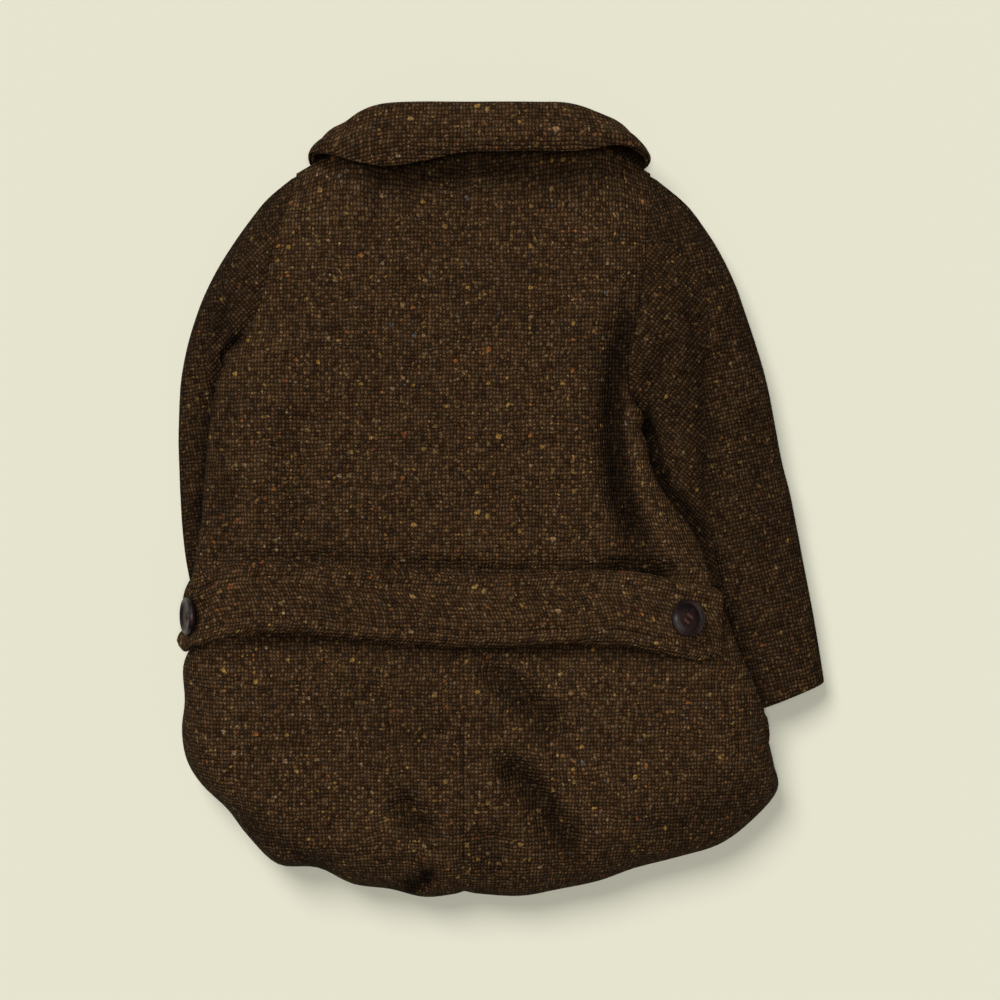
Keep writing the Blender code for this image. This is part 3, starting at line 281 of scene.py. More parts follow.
# Collar, one row for each station from the centre back to its front end.  neck: the neck
# seam; fold: the fold at the top of the stand; fall: the outer edge.  puff: how far the fall
# bows out
COLLAR_COLUMNS = ("neck_x", "neck_y", "neck_z", "fold_x", "fold_y", "fold_z",
                  "fall_x", "fall_y", "fall_z", "puff")
COLLAR = {
    "left": [
        (-22, 216.2, 46.5, -22, 240.5, 55, -22, 212, 65, 3),
        (-60, 217.4, 45.0, -62, 240.5, 54, -64, 204, 62, 3),
        (-80, 219.0, 41.5, -81, 237, 50, -86, 207, 58, 3),
        (-91, 219.0, 36.5, -92.5, 229, 43, -103, 212, 50, 2),
        (-92.5, 216.5, 31.0, -102, 222.5, 30, -115, 213, 39, 1),
        (-90.5, 205.0, 21.0, -101.5, 219.5, 13.5, -116, 208, 16, 0.5),
        (-86.5, 197.0, 18.0, -96, 214.5, 10.0, -112, 201, 4.5, 0),
        (-81, 188.5, 15.5, -88, 205, 8.5, -100, 180, 3.0, 0),
        (-61, 169.5, 13.0, -62, 182, 8.0, -70, 140, 3.0, 0),
        (-27, 159.5, 12.5, -28, 170, 8.0, -34, 127, 3.0, 0),
    ],
    "right": [
        (-22, 216.2, 46.5, -22, 240.5, 55, -22, 212, 65, 3),
        (20, 217.4, 45.5, 20, 240.5, 55, 20, 213, 66, 3),
        (45, 219.0, 43.0, 44, 239.5, 53, 49, 213, 65, 3),
        (58, 219.0, 38.5, 60, 232.5, 46, 72, 217, 60, 2),
        (60, 216.5, 32.5, 71.5, 224.5, 33, 89, 212, 44, 1),
        (57.5, 205.0, 21.0, 70, 220, 14.5, 90, 207, 18, 0.5),
        (53.5, 197.0, 18.0, 63, 215, 10.5, 81, 201, 4.5, 0),
        (49, 188.5, 15.5, 56, 205, 8.5, 68, 180, 3.0, 0),
        (25, 169.5, 13.0, 26, 182, 8.0, 34, 140, 3.0, 0),
        (-17, 159.5, 12.5, -16, 170, 8.0, -10, 127, 3.0, 0),
    ],
}

# Half belt: x, then y of its upper and lower edges, and how far each edge stands off the back
BELT_COLUMNS = ("x", "upper", "lower", "upper_off", "lower_off")
BELT = [
    (-183.8, -60, -91, 5.5, 7.5),               # rounded left end, down the side
    (-183.4, -55, -93, 3.8, 4.5),
    (-181.8, -49.5, -90, 2.8, 2.5),
    (-178.5, -47, -88.5, 1.8, 2.5),
    (-174, -45, -87, 0.3, 3.0),
    (-168, -42, -84, 0.2, 4.0),
    (-155, -40, -80, 0.0, 5.0),
    (-130, -39.5, -79, 0.0, 4.0),
    (-100, -41, -81, 0.0, 1.5),
    (-62, -44, -85, 0.0, 0.5),
    (0, -47, -88, 0.0, 0.5),
    (40, -45.5, -86, 0.0, 0.5),
    (75, -45.5, -87, 0.0, 0.5),
    (100, -49, -92, 0.0, 0.5),
    (118, -53, -96, 0.0, 0.5),
    (128, -55, -97.5, 1.2, 0.8),
    (133, -58, -94, 2.8, 1.5),                  # rounded right end
]
# Beyond this x its left end hangs down the side, by this much
BELT_DROP = [(-183.8, 19.0), (-183.3, 13.0), (-181.8, 6.0), (-178.5, 0.0)]
BELT_BEND = (44.0, 12)      # its left end wraps the side: this length has this many segments

# ---------------------------------------------------------------- finer sizes of the dressed coat
# Each piece's grid gets this many times the rows and columns
FINER = {"back": (5, 1), "front": (3, 3), "sleeve": (6, 1), "collar": (5, 4)}
TOP_COLUMNS = 46            # grid columns from the centre-back seam to the rim
ROLL_COLUMNS = 7            # round the rim to the underside
TUCK_COLUMNS = 6            # and on underneath
TOP_SHARES = 1 - (1 - np.linspace(0, 1, TOP_COLUMNS)) ** 1.5
PLAIN_SHARES = np.concatenate([0.88 * TOP_SHARES, np.linspace(0.88, 1, 14)[1:]])
SEAM_DIP = (0.9, 1.7)       # depth and width of the valley along a seam
SEAM_GAP = 0.04             # parting between two pieces sewn together
CUFF_HEM = (26.0, 4.4)      # a cuff is turned up over this length, to this thickness

# The dressed cloth's creases are deeper than its solid's by this factor
FOLD_DEPTH = 1.35
# Creases of the sleeves
SLEEVE_CREASES = [
    (5.0, 3.0, [(-166, 131), (-171, 112), (-176, 93)]),
    (3.5, 4.5, [(-156, 104), (-163, 96), (-170, 87)]),
    (7.0, 2.6, [(118, 134), (121, 100), (126, 50), (127, 12), (127, -26)]),
    (6.0, 1.6, [(-185, 60), (-186, 10), (-183, -30)]),
    (9.0, 1.4, [(150, 60), (154, 10), (163, -40)]),
    (8.0, -1.2, [(142, 78), (146, 20), (156, -30)]),
    (5.0, 2.2, [(93, 66), (98, 84), (104, 100)]),
    # beside the body's edge, which lies over them
    (5.5, 8.0, [(87, 58), (90, 40), (93, 26), (101, 5), (115, -11), (127, -30)]),
    (6.0, 3.4, [(124, -26), (134, -54), (146, -86), (157, -112), (165, -134)]),
    (4.5, 4.0, [(-172, 88), (-175, 66), (-179, 43), (-182, 10), (-186, -30), (-192, -56)]),
]
SLEEVE_GRAIN = {("left", "top"): -6.5, ("left", "under"): -42.0,      # turn of the weave, degrees
                ("right", "top"): -13.0, ("right", "under"): -52.0}
BELT_STITCH = 8.2           # topstitching of the half belt, in from its edges
STITCH_SINK = (0.75, 0.35)  # depth of its line, and how much less it is between two stitches
STITCH_WIDTH = 1.0          # half the width of the line
BELT_PAD = 0.45             # how much the cloth swells inside the edge
BELT_EDGE = (1.1, 2.2)      # rounding of the edge: depth and width
BELT_RIPPLE = 0.3           # its unevenness, as a share of the coat's
BELT_FINER = (8, 12)        # its grid gets this many times the rows and columns

# Turned outline of a button: shares of its radius and of its thickness, from the rim's back
# over the rim into the dish.  It starts flat on its back, with the first radius
BUTTON_BACK = 0.72
BUTTON_STEPS = [(0.90, 0.08), (0.98, 0.3), (1.0, 0.55), (0.975, 0.8), (0.915, 0.96), (0.85, 1.0),
                (0.79, 0.96), (0.74, 0.84), (0.66, 0.68), (0.52, 0.58), (0.36, 0.54), (0.18, 0.53)]
HOLE_PLACE = 0.17           # holes lie this far from the middle, both ways, in shares of the radius
# Thread, in metres: radius, distance between strands, length past the holes, height in the
# button (share), height of its bow and how far its ends go down
THREAD_RADIUS = 0.00033
THREAD_APART = 0.00055
THREAD_PAST = 0.0008
THREAD_LEVEL = 0.56
THREAD_BOW = 0.0011
THREAD_DOWN = 0.0006
BUTTON_SPINS = (("left", 0.5), ("right", 0.9))      # turn of each button about its axis


# ---------------------------------------------------------------- small helpers
def cubic(t, width, start, slope, end, end_slope):
    """Curve at t (0 to 1) between two values `width` apart, with their slopes."""
    return ((2 * t**3 - 3 * t**2 + 1) * start + (t**3 - 2 * t**2 + t) * width * slope
            + (3 * t**2 - 2 * t**3) * end + (t**3 - t**2) * width * end_slope)


def smooth(keys, values, at):
    """Cubic through (keys, values) with averaged slopes; `keys` rise or fall steadily."""
    keys = np.asarray(keys, float)
    values = np.asarray(values, float)
    if keys[0] > keys[-1]:
        keys, values = keys[::-1], values[::-1]
    at = np.clip(np.asarray(at, float), keys[0], keys[-1])
    steps = np.diff(values) / np.diff(keys)
    slopes = np.concatenate([[steps[0]], (steps[:-1] + steps[1:]) / 2, [steps[-1]]])
    i = np.clip(np.searchsorted(keys, at, side="right") - 1, 0, len(keys) - 2)
    width = keys[i + 1] - keys[i]
    return cubic((at - keys[i]) / width, width, values[i], slopes[i], values[i + 1],
                 slopes[i + 1])


def ease(value):
    """0 to 1 with a soft start and end."""
    value = np.clip(value, 0.0, 1.0)
    return value * value * (3 - 2 * value)


def arc_lengths(points):
    """Distance travelled along a polyline, at each of its points."""
    return np.concatenate([[0.0], np.cumsum(np.linalg.norm(np.diff(points, axis=0), axis=1))])


def resample(points, shares):
    """Points at the given shares (0 to 1) of a polyline's length."""
    lengths = arc_lengths(points)
    at = np.asarray(shares) * lengths[-1]
    return np.stack([np.interp(at, lengths, points[:, k]) for k in range(points.shape[1])], 1)


def line_distance(x, y, line):
    """Plan distance from (x, y) to a polyline, and the share of it at the nearest point."""
    line = np.asarray(line, float)
    best = np.full(np.shape(x), 1e9)
    share = np.zeros(np.shape(x))
    lengths = arc_lengths(line)
    for k in range(len(line) - 1):
        step = line[k + 1] - line[k]
        t = np.clip(((x - line[k, 0]) * step[0] + (y - line[k, 1]) * step[1])
                    / (step @ step), 0, 1)
        d = np.hypot(x - line[k, 0] - t * step[0], y - line[k, 1] - t * step[1])
        nearer = d < best
        best = np.where(nearer, d, best)
        share = np.where(nearer, (lengths[k] + t * (lengths[k + 1] - lengths[k])) / lengths[-1],
                         share)
    return best, share


def unit(vectors):
    """The vectors at length one."""
    return vectors / np.maximum(np.linalg.norm(vectors, axis=-1, keepdims=True), 1e-9)


def column(table, names, name):
    """One named column of a table."""
    return [row[names.index(name)] for row in table]


# ---------------------------------------------------------------- cloth meshes
def finer(grid, rows=1, columns=1):
    """The grid with more rows and columns, on smooth curves through its points."""

    def along(values, times):
        if times == 1:
            return values
        at = np.arange((len(values) - 1) * times + 1) / times
        slopes = np.gradient(values, axis=0)
        i = np.minimum(at.astype(int), len(values) - 2)
        t = (at - i).reshape(-1, *[1] * (values.ndim - 1))
        return cubic(t, 1, values[i], slopes[i], values[i + 1], slopes[i + 1])

    grid = along(grid, rows)
    return along(grid.swapaxes(0, 1), columns).swapaxes(0, 1)


def grid_normals(points, closed=False):
    """Unit normals of a grid of points, rows by columns; `closed` joins the last column."""
    def directions(grid):
        steps = unit(np.diff(grid, axis=0))
        return np.concatenate([steps[:1], steps[:-1] + steps[1:], steps[-1:]])

    along = directions(points)
    if closed:
        steps = unit(np.roll(points, -1, axis=1) - points)
        across = steps + np.roll(steps, 1, axis=1)
    else:
        across = directions(points.swapaxes(0, 1)).swapaxes(0, 1)
    return unit(np.cross(unit(across), unit(along)))


def outward(normals, up_at):
    """The same normals, turned so that the one at row and column `up_at` looks up."""
    return normals if normals[up_at][2] > 0 else -normals


def row_arcs(grid, start=0):
    """Distance travelled along each row of a grid, from its column `start`."""
    steps = np.linalg.norm(np.diff(grid, axis=1), axis=2)
    arcs = np.concatenate([np.zeros((len(grid), 1)), np.cumsum(steps, axis=1)], axis=1)
    return arcs - arcs[:, start:start + 1]


def column_arcs(grid):
    """Distance travelled down each column of a grid."""
    return row_arcs(grid.swapaxes(0, 1)).T


def ripple(x, y):
    """Small unevenness of lying cloth, in millimetres."""
    total = np.zeros(np.shape(x))
    for size, length, turn, shift in ((0.35, 47, 0.4, 0.3), (0.30, 36, 2.1, 1.9),
                                      (0.22, 27, 1.2, 4.0), (0.14, 18, 2.8, 2.2),
                                      (0.10, 13, 0.1, 5.1), (0.08, 9, 1.7, 0.9)):
        phase = (x * math.cos(turn) + y * math.sin(turn)) * 2 * math.pi / length
        bend = np.sin((y * math.cos(turn) - x * math.sin(turn)) * 2 * math.pi / (2.7 * length))
        total += size * np.sin(phase + shift + 1.4 * bend)
    return total


def shell(name, face, normals, thick, uv, rims=(0, 0, 0, 0), arc=5, hollow=None):
    """A closed shell of cloth from the grid of its outer face.

    `thick` is its thickness, one number or one for each point; `uv` is the cloth's place before
    it was shaped, in millimetres; `rims` says how far each border (first row, last row, first
    column, last column) is rounded out, from 0 for a seam to 1; the last argument is the painted
    shade: how much darker the colour is painted at each point.
    """
    rows, columns = face.shape[:2]
    thick = np.broadcast_to(np.asarray(thick, float), (rows, columns))
    inner = face - normals * thick[..., None]
    border = ([(i, 0) for i in range(rows)] + [(rows - 1, j) for j in range(1, columns)]
              + [(i, columns - 1) for i in range(rows - 2, -1, -1)]
              + [(0, j) for j in range(columns - 2, 0, -1)])
    count = rows * columns
    points = [face.reshape(-1, 3), inner.reshape(-1, 3)]
    maps = [uv.reshape(-1, 2), uv.reshape(-1, 2)]
    turns = np.pi * np.arange(1, arc) / arc
    rim = np.zeros((len(border), arc - 1, 3))
    rim_uv = np.zeros((len(border), arc - 1, 2))
    for k, (i, j) in enumerate(border):
        out, out_uv, bulge, sides = np.zeros(3), np.zeros(2), 0.0, 0
        for at, beside, share in ((i == 0, (1, j), rims[0]),
                                  (i == rows - 1, (rows - 2, j), rims[1]),
                                  (j == 0, (i, 1), rims[2]),
                                  (j == columns - 1, (i, columns - 2), rims[3])):
            if at:
                out += unit(face[i, j] - face[beside])
                out_uv += unit(uv[i, j] - uv[beside])
                bulge, sides = bulge + share, sides + 1
        out -= (out @ normals[i, j]) * normals[i, j]
        half = thick[i, j] / 2
        middle = face[i, j] - normals[i, j] * half
        rim[k] = (middle + normals[i, j] * half * np.cos(turns)[:, None]
                  + unit(out) * half * (bulge / sides) * np.sin(turns)[:, None])
        rim_uv[k] = uv[i, j] + unit(out_uv) * half * turns[:, None]
    points.append(rim.reshape(-1, 3))
    maps.append(rim_uv.reshape(-1, 2))
    at = np.arange(count).reshape(rows, columns)
    quads = np.stack([at[:-1, :-1], at[1:, :-1], at[1:, 1:], at[:-1, 1:]], axis=-1).reshape(-1, 4)
    faces = [quads, quads[:, ::-1] + count]
    start = 2 * count
    strip = []
    for k in range(len(border)):
        n = (k + 1) % len(border)
        mine = [at[border[k]], *(start + k * (arc - 1) + np.arange(arc - 1)),
                at[border[k]] + count]
        next_one = [at[border[n]], *(start + n * (arc - 1) + np.arange(arc - 1)),
                    at[border[n]] + count]
        strip += [(mine[q], mine[q + 1], next_one[q + 1], next_one[q]) for q in range(arc)]
    faces.append(np.array(strip))
    piece = make_mesh(name, np.concatenate(points), np.concatenate(faces), np.concatenate(maps))
    shade = np.zeros((rows, columns)) if hollow is None else np.clip(hollow, *SHADE_LIMITS)
    rim_shade = np.repeat([shade[at] for at in border], arc - 1)
    layer = piece.data.attributes.new("hollow", "FLOAT", "POINT")
    layer.data.foreach_set("value", np.concatenate([shade.ravel(), shade.ravel(), rim_shade]))
    return piece


def make_mesh(name, points, faces, uv=None):
    """An object with these points (millimetres) and faces, and the cloth's UV map."""
    data = bpy.data.meshes.new(name)
    points[:, 2] = np.maximum(points[:, 2], FLOOR_GAP)
    data.from_pydata(((points - ORIGIN) * MM).tolist(), [], np.asarray(faces).tolist())
    if uv is not None:
        layer = data.uv_layers.new(name="weave")
        at = np.zeros(len(data.loops), int)
        data.loops.foreach_get("vertex_index", at)
        layer.data.foreach_set("uv", (uv[at] * MM).ravel())
    mesh = bmesh.new()
    mesh.from_mesh(data)
    bmesh.ops.recalc_face_normals(mesh, faces=mesh.faces[:])
    mesh.to_mesh(data)
    mesh.free()
    data.shade_smooth()
    data.set_sharp_from_angle(angle=math.radians(60))
    piece = bpy.data.objects.new(name, data)
    bpy.context.scene.collection.objects.link(piece)
    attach(piece, "root")
    return piece


# ---------------------------------------------------------------- sleeves lying under the body
def sleeve_axis(side):
    """Centre line of a sleeve in plan with its half width and height, below the underarm."""
    rows = np.array(SLEEVES[side], float)[SLEEVE_AXIS_FROM:]
    centre = (rows[:, 0:2] + rows[:, 2:4]) / 2
    half = np.linalg.norm(rows[:, 0:2] - rows[:, 2:4], axis=1) / 2
    return centre, half, rows[:, 5]


def lift(x, y):
    """Height at which the fronts lie: on the surface, or on the sleeves and the collar."""
    height = COLLAR_ROOM * ease((np.asarray(y, float) - COLLAR_UNDER[0]) / COLLAR_UNDER[1])
    for side in ("left", "right"):
        centre, half, crest = sleeve_axis(side)
        distance, share = line_distance(x, y, centre)
        keys = arc_lengths(centre) / arc_lengths(centre)[-1]
        past, down = np.zeros(np.shape(x)), np.zeros(np.shape(x))
        for end, beside, length, at_end in ((0, 1, SLEEVE_ENDS[0], share <= 0),
                                            (-1, -2, SLEEVE_ENDS[1], share >= 1)):
            along = unit(centre[end] - centre[beside])
            beyond = (x - centre[end, 0]) * along[0] + (y - centre[end, 1]) * along[1]
            past = np.where(at_end, np.maximum(beyond, 0), past)
            down = np.where(at_end, np.maximum(past - CUFF_EDGE * (end < 0), 0) / length, down)
        beside = np.sqrt(np.maximum(distance**2 - past**2, 0))
        reach = np.interp(share, keys, half) + SLEEVE_SKIRT
        top = np.interp(share, keys, crest) + CUFF_CLEARANCE
        ratio = np.hypot(beside / reach, down)
        fall = np.clip(1 - ratio ** LIFT_CURVE[0], 0, 1) ** LIFT_CURVE[1]
        height = np.maximum(height, top * fall)
    return height


def lift_normal(x, y):
    """Upward normal of that height."""
    step = 0.5
    slope_x = (lift(x + step, y) - lift(x - step, y)) / (2 * step)
    slope_y = (lift(x, y + step) - lift(x, y - step)) / (2 * step)
    normal = np.stack([-slope_x, -slope_y, np.ones_like(slope_x)], axis=-1)
    return unit(normal)


# ---------------------------------------------------------------- the back
EDGES = {"left": LEFT_EDGE, "right": RIGHT_EDGE}


def edge_at(side, spine):
    """The edge table's values at a place along the spine, as a dictionary."""
    table = EDGES[side]
    keys = column(table, EDGE_COLUMNS, "spine")
    return {name: float(smooth(keys, column(table, EDGE_COLUMNS, name), spine))
            for name in EDGE_COLUMNS}


def crease_depth(creases, x, y):
    """How far the creases sink the cloth at (x, y)."""
    depth = np.zeros(np.shape(x))
    reach, least = CREASE_ENDS
    for width, sunk, line in creases:
        distance, share = line_distance(x, y, line)
        ends = ease(share / reach) * ease((1 - share) / reach)
        depth += sunk * np.exp(-(distance / width) ** 2) * (least + (1 - least) * ends)
    return depth


def rib(side, spine):
    """One row of the back: over the top, round the rim and on underneath.

    Each point is x, y, z and how far the creases act there.
    """
    row = edge_at(side, spine)
    start = np.array([CENTRE_X, spine])
    end = np.array([row["x"], row["y"]])
    length = np.linalg.norm(end - start)
    run = length * (1 - np.linspace(0, 1, RIB_SAMPLES)) ** RIB_CROWDING
    plan = end + (start - end) / length * run[:, None]
    crown = smooth([k for k, _ in CROWN], [v for _, v in CROWN], plan[:, 1])
    rounding = 1 - (1 - np.clip(run / row["reach"], 0, 1)) ** 2
    height = row["edge"] + (crown - row["edge"]) * rounding ** (1 / row["bend"])
    points = np.column_stack([plan, height, rounding * CREASE_STORE])
    settled = float(ease((UNDERARM_SPINE[side] - spine) / SETTLING))
    if settled == 0:
        return resample(points, PLAIN_SHARES)
    inward = unit(start - end)
    turn = np.radians(90 * np.arange(1, ROLL_COLUMNS + 1) / ROLL_COLUMNS)
    low = end + inward * row["under"]
    drop = row["edge"] - float(lift(low[0], low[1]))
    roll = end + inward * (row["under"] * (1 - np.cos(turn)))[:, None]
    tuck = low + inward * (row["tuck"] * np.arange(1, TUCK_COLUMNS + 1) / TUCK_COLUMNS)[:, None]
    below = np.vstack([np.column_stack([roll, row["edge"] - drop * np.sin(turn), 0 * turn]),
                       np.column_stack([tuck, lift(tuck[:, 0], tuck[:, 1]),
                                        np.zeros(TUCK_COLUMNS)])])
    plain = resample(np.vstack([points, below]), PLAIN_SHARES)
    return plain + (np.vstack([resample(points, TOP_SHARES), below]) - plain) * settled


def back_rows(side):
    """Fine grid of the back's outer face, with the neck and shoulder edge worked in."""
    grid = np.stack([rib(side, spine) for spine in SPINE])
    top = resample(np.array(NECK_BACK[side], float), PLAIN_SHARES)
    change = top - grid[0, :, :3]
    for i, spine in enumerate(SPINE):
        grid[i, :, :3] += change * (1 - ease((SPINE[0] - spine) / SHOULDER_REACH))
    return finer(grid, *FINER["back"])


def unrolled(face, origin, start=0, far=-1):
    """The cloth's flat place for each point: the row's length from column `start`, laid out
    towards column `far`."""
    plan = face[..., :2]
    arcs = row_arcs(face, start)
    arcs = arcs * np.sign(arcs[:, far:][:, :1])
    aim = unit(plan[:, far] - plan[:, start])
    return plan[:, start, None] + aim[:, None] * arcs[..., None] - origin


def rolled_out(face, away, turn, start):
    """Where the weave lies on a sleeve: each point's place in plan, moved out to the side
    `away` by what its row's length has gained on its plan, and then turned by so many degrees."""
    plan = face.copy()
    plan[..., 2] = 0
    gain = np.abs(row_arcs(face, start)) - np.abs(row_arcs(plan, start))
    flat = face[..., :2] + np.stack([gain * away, 0 * gain], axis=-1)
    c, s = math.cos(math.radians(turn)), math.sin(math.radians(turn))
    return np.stack([flat[..., 0] * c - flat[..., 1] * s, flat[..., 0] * s + flat[..., 1] * c],
                    axis=-1)


@cache
def shape_backs():
    """Both halves of the back: outer face, its normals and the cloth's flat places."""
    halves = {side: back_rows(side) for side in ("left", "right")}
    spines = np.interp(np.arange((len(SPINE) - 1) * FINER["back"][0] + 1) / FINER["back"][0],
                       np.arange(len(SPINE)), SPINE)
    for grid in halves.values():
        x, y, acts = grid[..., 0], grid[..., 1], np.clip(grid[..., 3] / CREASE_STORE, 0, 1)
        grid[..., 2] -= crease_depth(CREASES, x, y) * acts * FOLD_DEPTH
        grid[..., 2] += ripple(x, y) * acts
    whole = np.concatenate([halves["left"][:, ::-1, :3], halves["right"][:, 1:, :3]], axis=1)
    last = len(PLAIN_SHARES) - 1
    normals = outward(grid_normals(whole), up_at=(25, last))
    backs = {}
    for side, columns in (("left", slice(last, None, -1)), ("right", slice(last, None))):
        face, facing = whole[:, columns].copy(), normals[:, columns].copy()
        run = np.gradient(face[-1], axis=0)
        facing[-1] = unit(np.column_stack([np.zeros(len(run)), run[:, 2], -run[:, 1]]))
        facing[-1] *= np.sign(facing[-1, 0, 2])
        shoulder = ease((abs(face[0, :, 0] - CENTRE_X) - abs(SHOULDER_START[side] - CENTRE_X))
                        / 4 + 1)[:, None]
        facing[0] = unit(facing[0] * (1 - shoulder) + np.array([0, 1, 0]) * shoulder)
        for i, spine in enumerate(spines):
            tuck = edge_at(side, spine)["tuck"]
            if tuck > 0.2:
                facing[i, -1] = -lift_normal(face[i, -1, 0], face[i, -1, 1])
        away = -1 if side == "left" else 1
        face[:, 0, 0] = CENTRE_X + away * SEAM_GAP / 2
        face[-1, :, 0] = CENTRE_X + away * SEAM_GAP / 2
        arcs = row_arcs(face)
        uv = unrolled(face, (CENTRE_X, 0))
        depth, width = SEAM_DIP
        dip = np.exp(-(arcs / width) ** 2)
        armhole = ease((spines - UNDERARM_SPINE[side]) / 10 + 0.5)[:, None]
        dip += np.exp(-((arcs[:, -1:] - arcs) / width) ** 2) * armhole
        # the last rib lies along the centre seam too
        centre = np.exp(-(abs(face[..., 0] - CENTRE_X) / width) ** 2)
        dip = np.maximum(dip, centre * (arcs > 3))
        face = face - facing * (depth * np.minimum(dip, 1))[..., None]
        backs[side] = (face, facing, uv)
    return backs, spines


# ---------------------------------------------------------------- the fronts
def neckline(side):
    """The front's neck and shoulder edge, from its free edge to the shoulder tip."""
    line = np.array(NECK_FRONT[side], float)
    past = 1 if side == "left" else -1
    first = [[CENTRE_X + past * FRONT_OVERLAP, line[0, 1], line[0, 2]]]
    return np.vstack([first, line])


def front_height(side, x, y, layer):
    """Height of the underside of a front at (x, y); `layer` is its thickness there."""
    line = neckline(side)
    order = np.argsort(line[:, 0])
    edge_y = np.interp(x, line[order, 0], line[order, 1])
    edge_z = np.interp(x, line[order, 0], line[order, 2])
    over_hem = HEM_ROOM * ease((HEM_START - y) / HEM_RAMP)
    height = lift(x, y) + over_hem / lift_normal(x, y)[..., 2]
    u = np.clip((edge_y - y) / NECK_ROLL, 0, 1)
    height += (edge_z - height) * (1 - u) ** 2
    if side == "left":      # passes over the other front at the centre
        climb = ease((x - CENTRE_X + 2 * FRONT_OVERLAP + 4) / OVERLAP_RAMP)
        height += (layer + OVERLAP_REST) * climb
    return height


def front_armhole(side, shares):
    """Points of the front half of the armhole, from the shoulder tip to the underarm."""
    rough = np.array(ARMHOLE_FRONT[side], float)
    keys = arc_lengths(rough)
    fine = np.linspace(0, keys[-1], 200)
    line = np.stack([smooth(keys, rough[:, 0], fine), smooth(keys, rough[:, 1], fine)], axis=1)
    plan = resample(line, shares)
    return np.column_stack([plan, front_height(side, plan[:, 0], plan[:, 1], CLOTH)])


def shape_front(side, backs):
    """One front: its face on the surface, normals, thickness and flat places."""
    armhole = front_armhole(side, ARMHOLE_SHARES)
    past = 1 if side == "left" else -1
    free_x = CENTRE_X + past * FRONT_OVERLAP
    underarm_y = armhole[-1, 1]
    edges = [(p[0], p[1]) for p in armhole]
    free_y = [NECK_FRONT[side][0][1] + (p[1] - armhole[0, 1]) * (NECK_FRONT[side][0][1]
              - underarm_y + 2) / (armhole[0, 1] - underarm_y) for p in armhole]
    layers = [CLOTH] * len(edges)
    back_face = backs[side][0][::FINER["back"][0]]
    for i, spine in enumerate(SPINE):
        row = edge_at(side, spine)
        inward = unit(np.array([CENTRE_X - row["x"], spine - row["y"]]))
        if UNDERARM_SPINE[side] > spine >= CORNER_SPINE[side]:
            edge = back_face[i, -1, :2] + inward * (SEAM + 0.3)
            edges.append(tuple(edge))
            free_y.append(edge[1] - 2)
            layers.append(CLOTH)
        elif CORNER_SPINE[side] > spine >= LAST_FRONT_SPINE[side]:
            edge = np.array([row["x"], row["y"]]) + inward * HEM_INSET
            edges.append(tuple(edge))
            share = (CORNER_SPINE[side] - spine) / (CORNER_SPINE[side] - LAST_FRONT_SPINE[side])
            free_y.append(free_y[-1] + (FRONT_END - free_y[-1]) * share)
            layers.append(HEM_LAYER)
    shares = 1 - (1 - np.linspace(0, 1, FRONT_COLUMNS)) ** FRONT_CROWDING
    plan = np.array([[[free_x + (ex - free_x) * t, fy + (ey - fy) * t] for t in shares]
                     for (ex, ey), fy in zip(edges, free_y)])
    top = resample(neckline(side), shares)
    change = top[:, :2] - plan[0]
    for i, share in enumerate(ARMHOLE_SHARES):
        plan[i] += change * (1 - ease(share / 0.5))
    layer = np.repeat(np.array(layers)[:, None], FRONT_COLUMNS, axis=1)
    height = front_height(side, plan[..., 0], plan[..., 1], layer)
    face = np.concatenate([plan, height[..., None]], axis=2)
    normals = grid_normals(face)
    normals *= -np.sign(normals[..., 2:3])
    count = len(armhole)
    normals[count:, -1] = -lift_normal(face[count:, -1, 0], face[count:, -1, 1])
    shoulder = (abs(face[0, :, 0] - CENTRE_X) >= abs(SHOULDER_START[side] - CENTRE_X) - 0.5)
    normals[0, shoulder] = (0, 1, 0)
    face[0, shoulder, 2] -= SEAM + 0.1
    armhole_facing = normals[:count, -1]
    face, normals = finer(face, *FINER["front"]), unit(finer(normals, *FINER["front"]))
    layer = finer(layer[..., None], *FINER["front"])[..., 0]
    return face, normals, layer, unrolled(face, (CENTRE_X, 0)), armhole_facing


# ---------------------------------------------------------------- the sleeves
def sleeve_row(side, section):
    """The sleeve table's values at a section number, as a dictionary."""
    rows = np.array(SLEEVES[side], float)
    return {name: float(smooth(np.arange(len(rows)), rows[:, c], section))
            for c, name in enumerate(SLEEVE_COLUMNS)}


def sleeve_ring(side, section, angles):
    """Points of the sleeve's outer face round one section: arched above, flat below."""
    row = sleeve_row(side, section)
    outer = np.array([row["outer_x"], row["outer_y"]])
    inner = np.array([row["inner_x"], row["inner_y"]])
    turn = np.radians(angles)
    cosine, sine = np.cos(turn), np.sin(turn)
    above = sine >= 0
    across = np.where(above, cosine, np.sign(cosine) * np.abs(cosine) ** SLEEVE_FLAT)
    low = np.clip(1.12 * (1 - np.abs(sine) ** SLEEVE_FLAT) - 0.12, 0, 1)
    height = np.where(above, row["edge"] + (row["crest"] - row["edge"]) * np.abs(sine),
                      row["edge"] * low)
    plan = (outer + inner) / 2 + (outer - inner) / 2 * across[:, None]
    return np.column_stack([plan, height])


def rim_x(side, y):
    """x of the back's rim at y, below the underarm."""
    rows = [(row[2], row[1]) for row in EDGES[side]
            if UNDERARM_SPINE[side] >= row[0] >= CORNER_SPINE[side]]
    rows = np.array(rows[::-1], float)
    return np.interp(y, rows[:, 0], rows[:, 1])


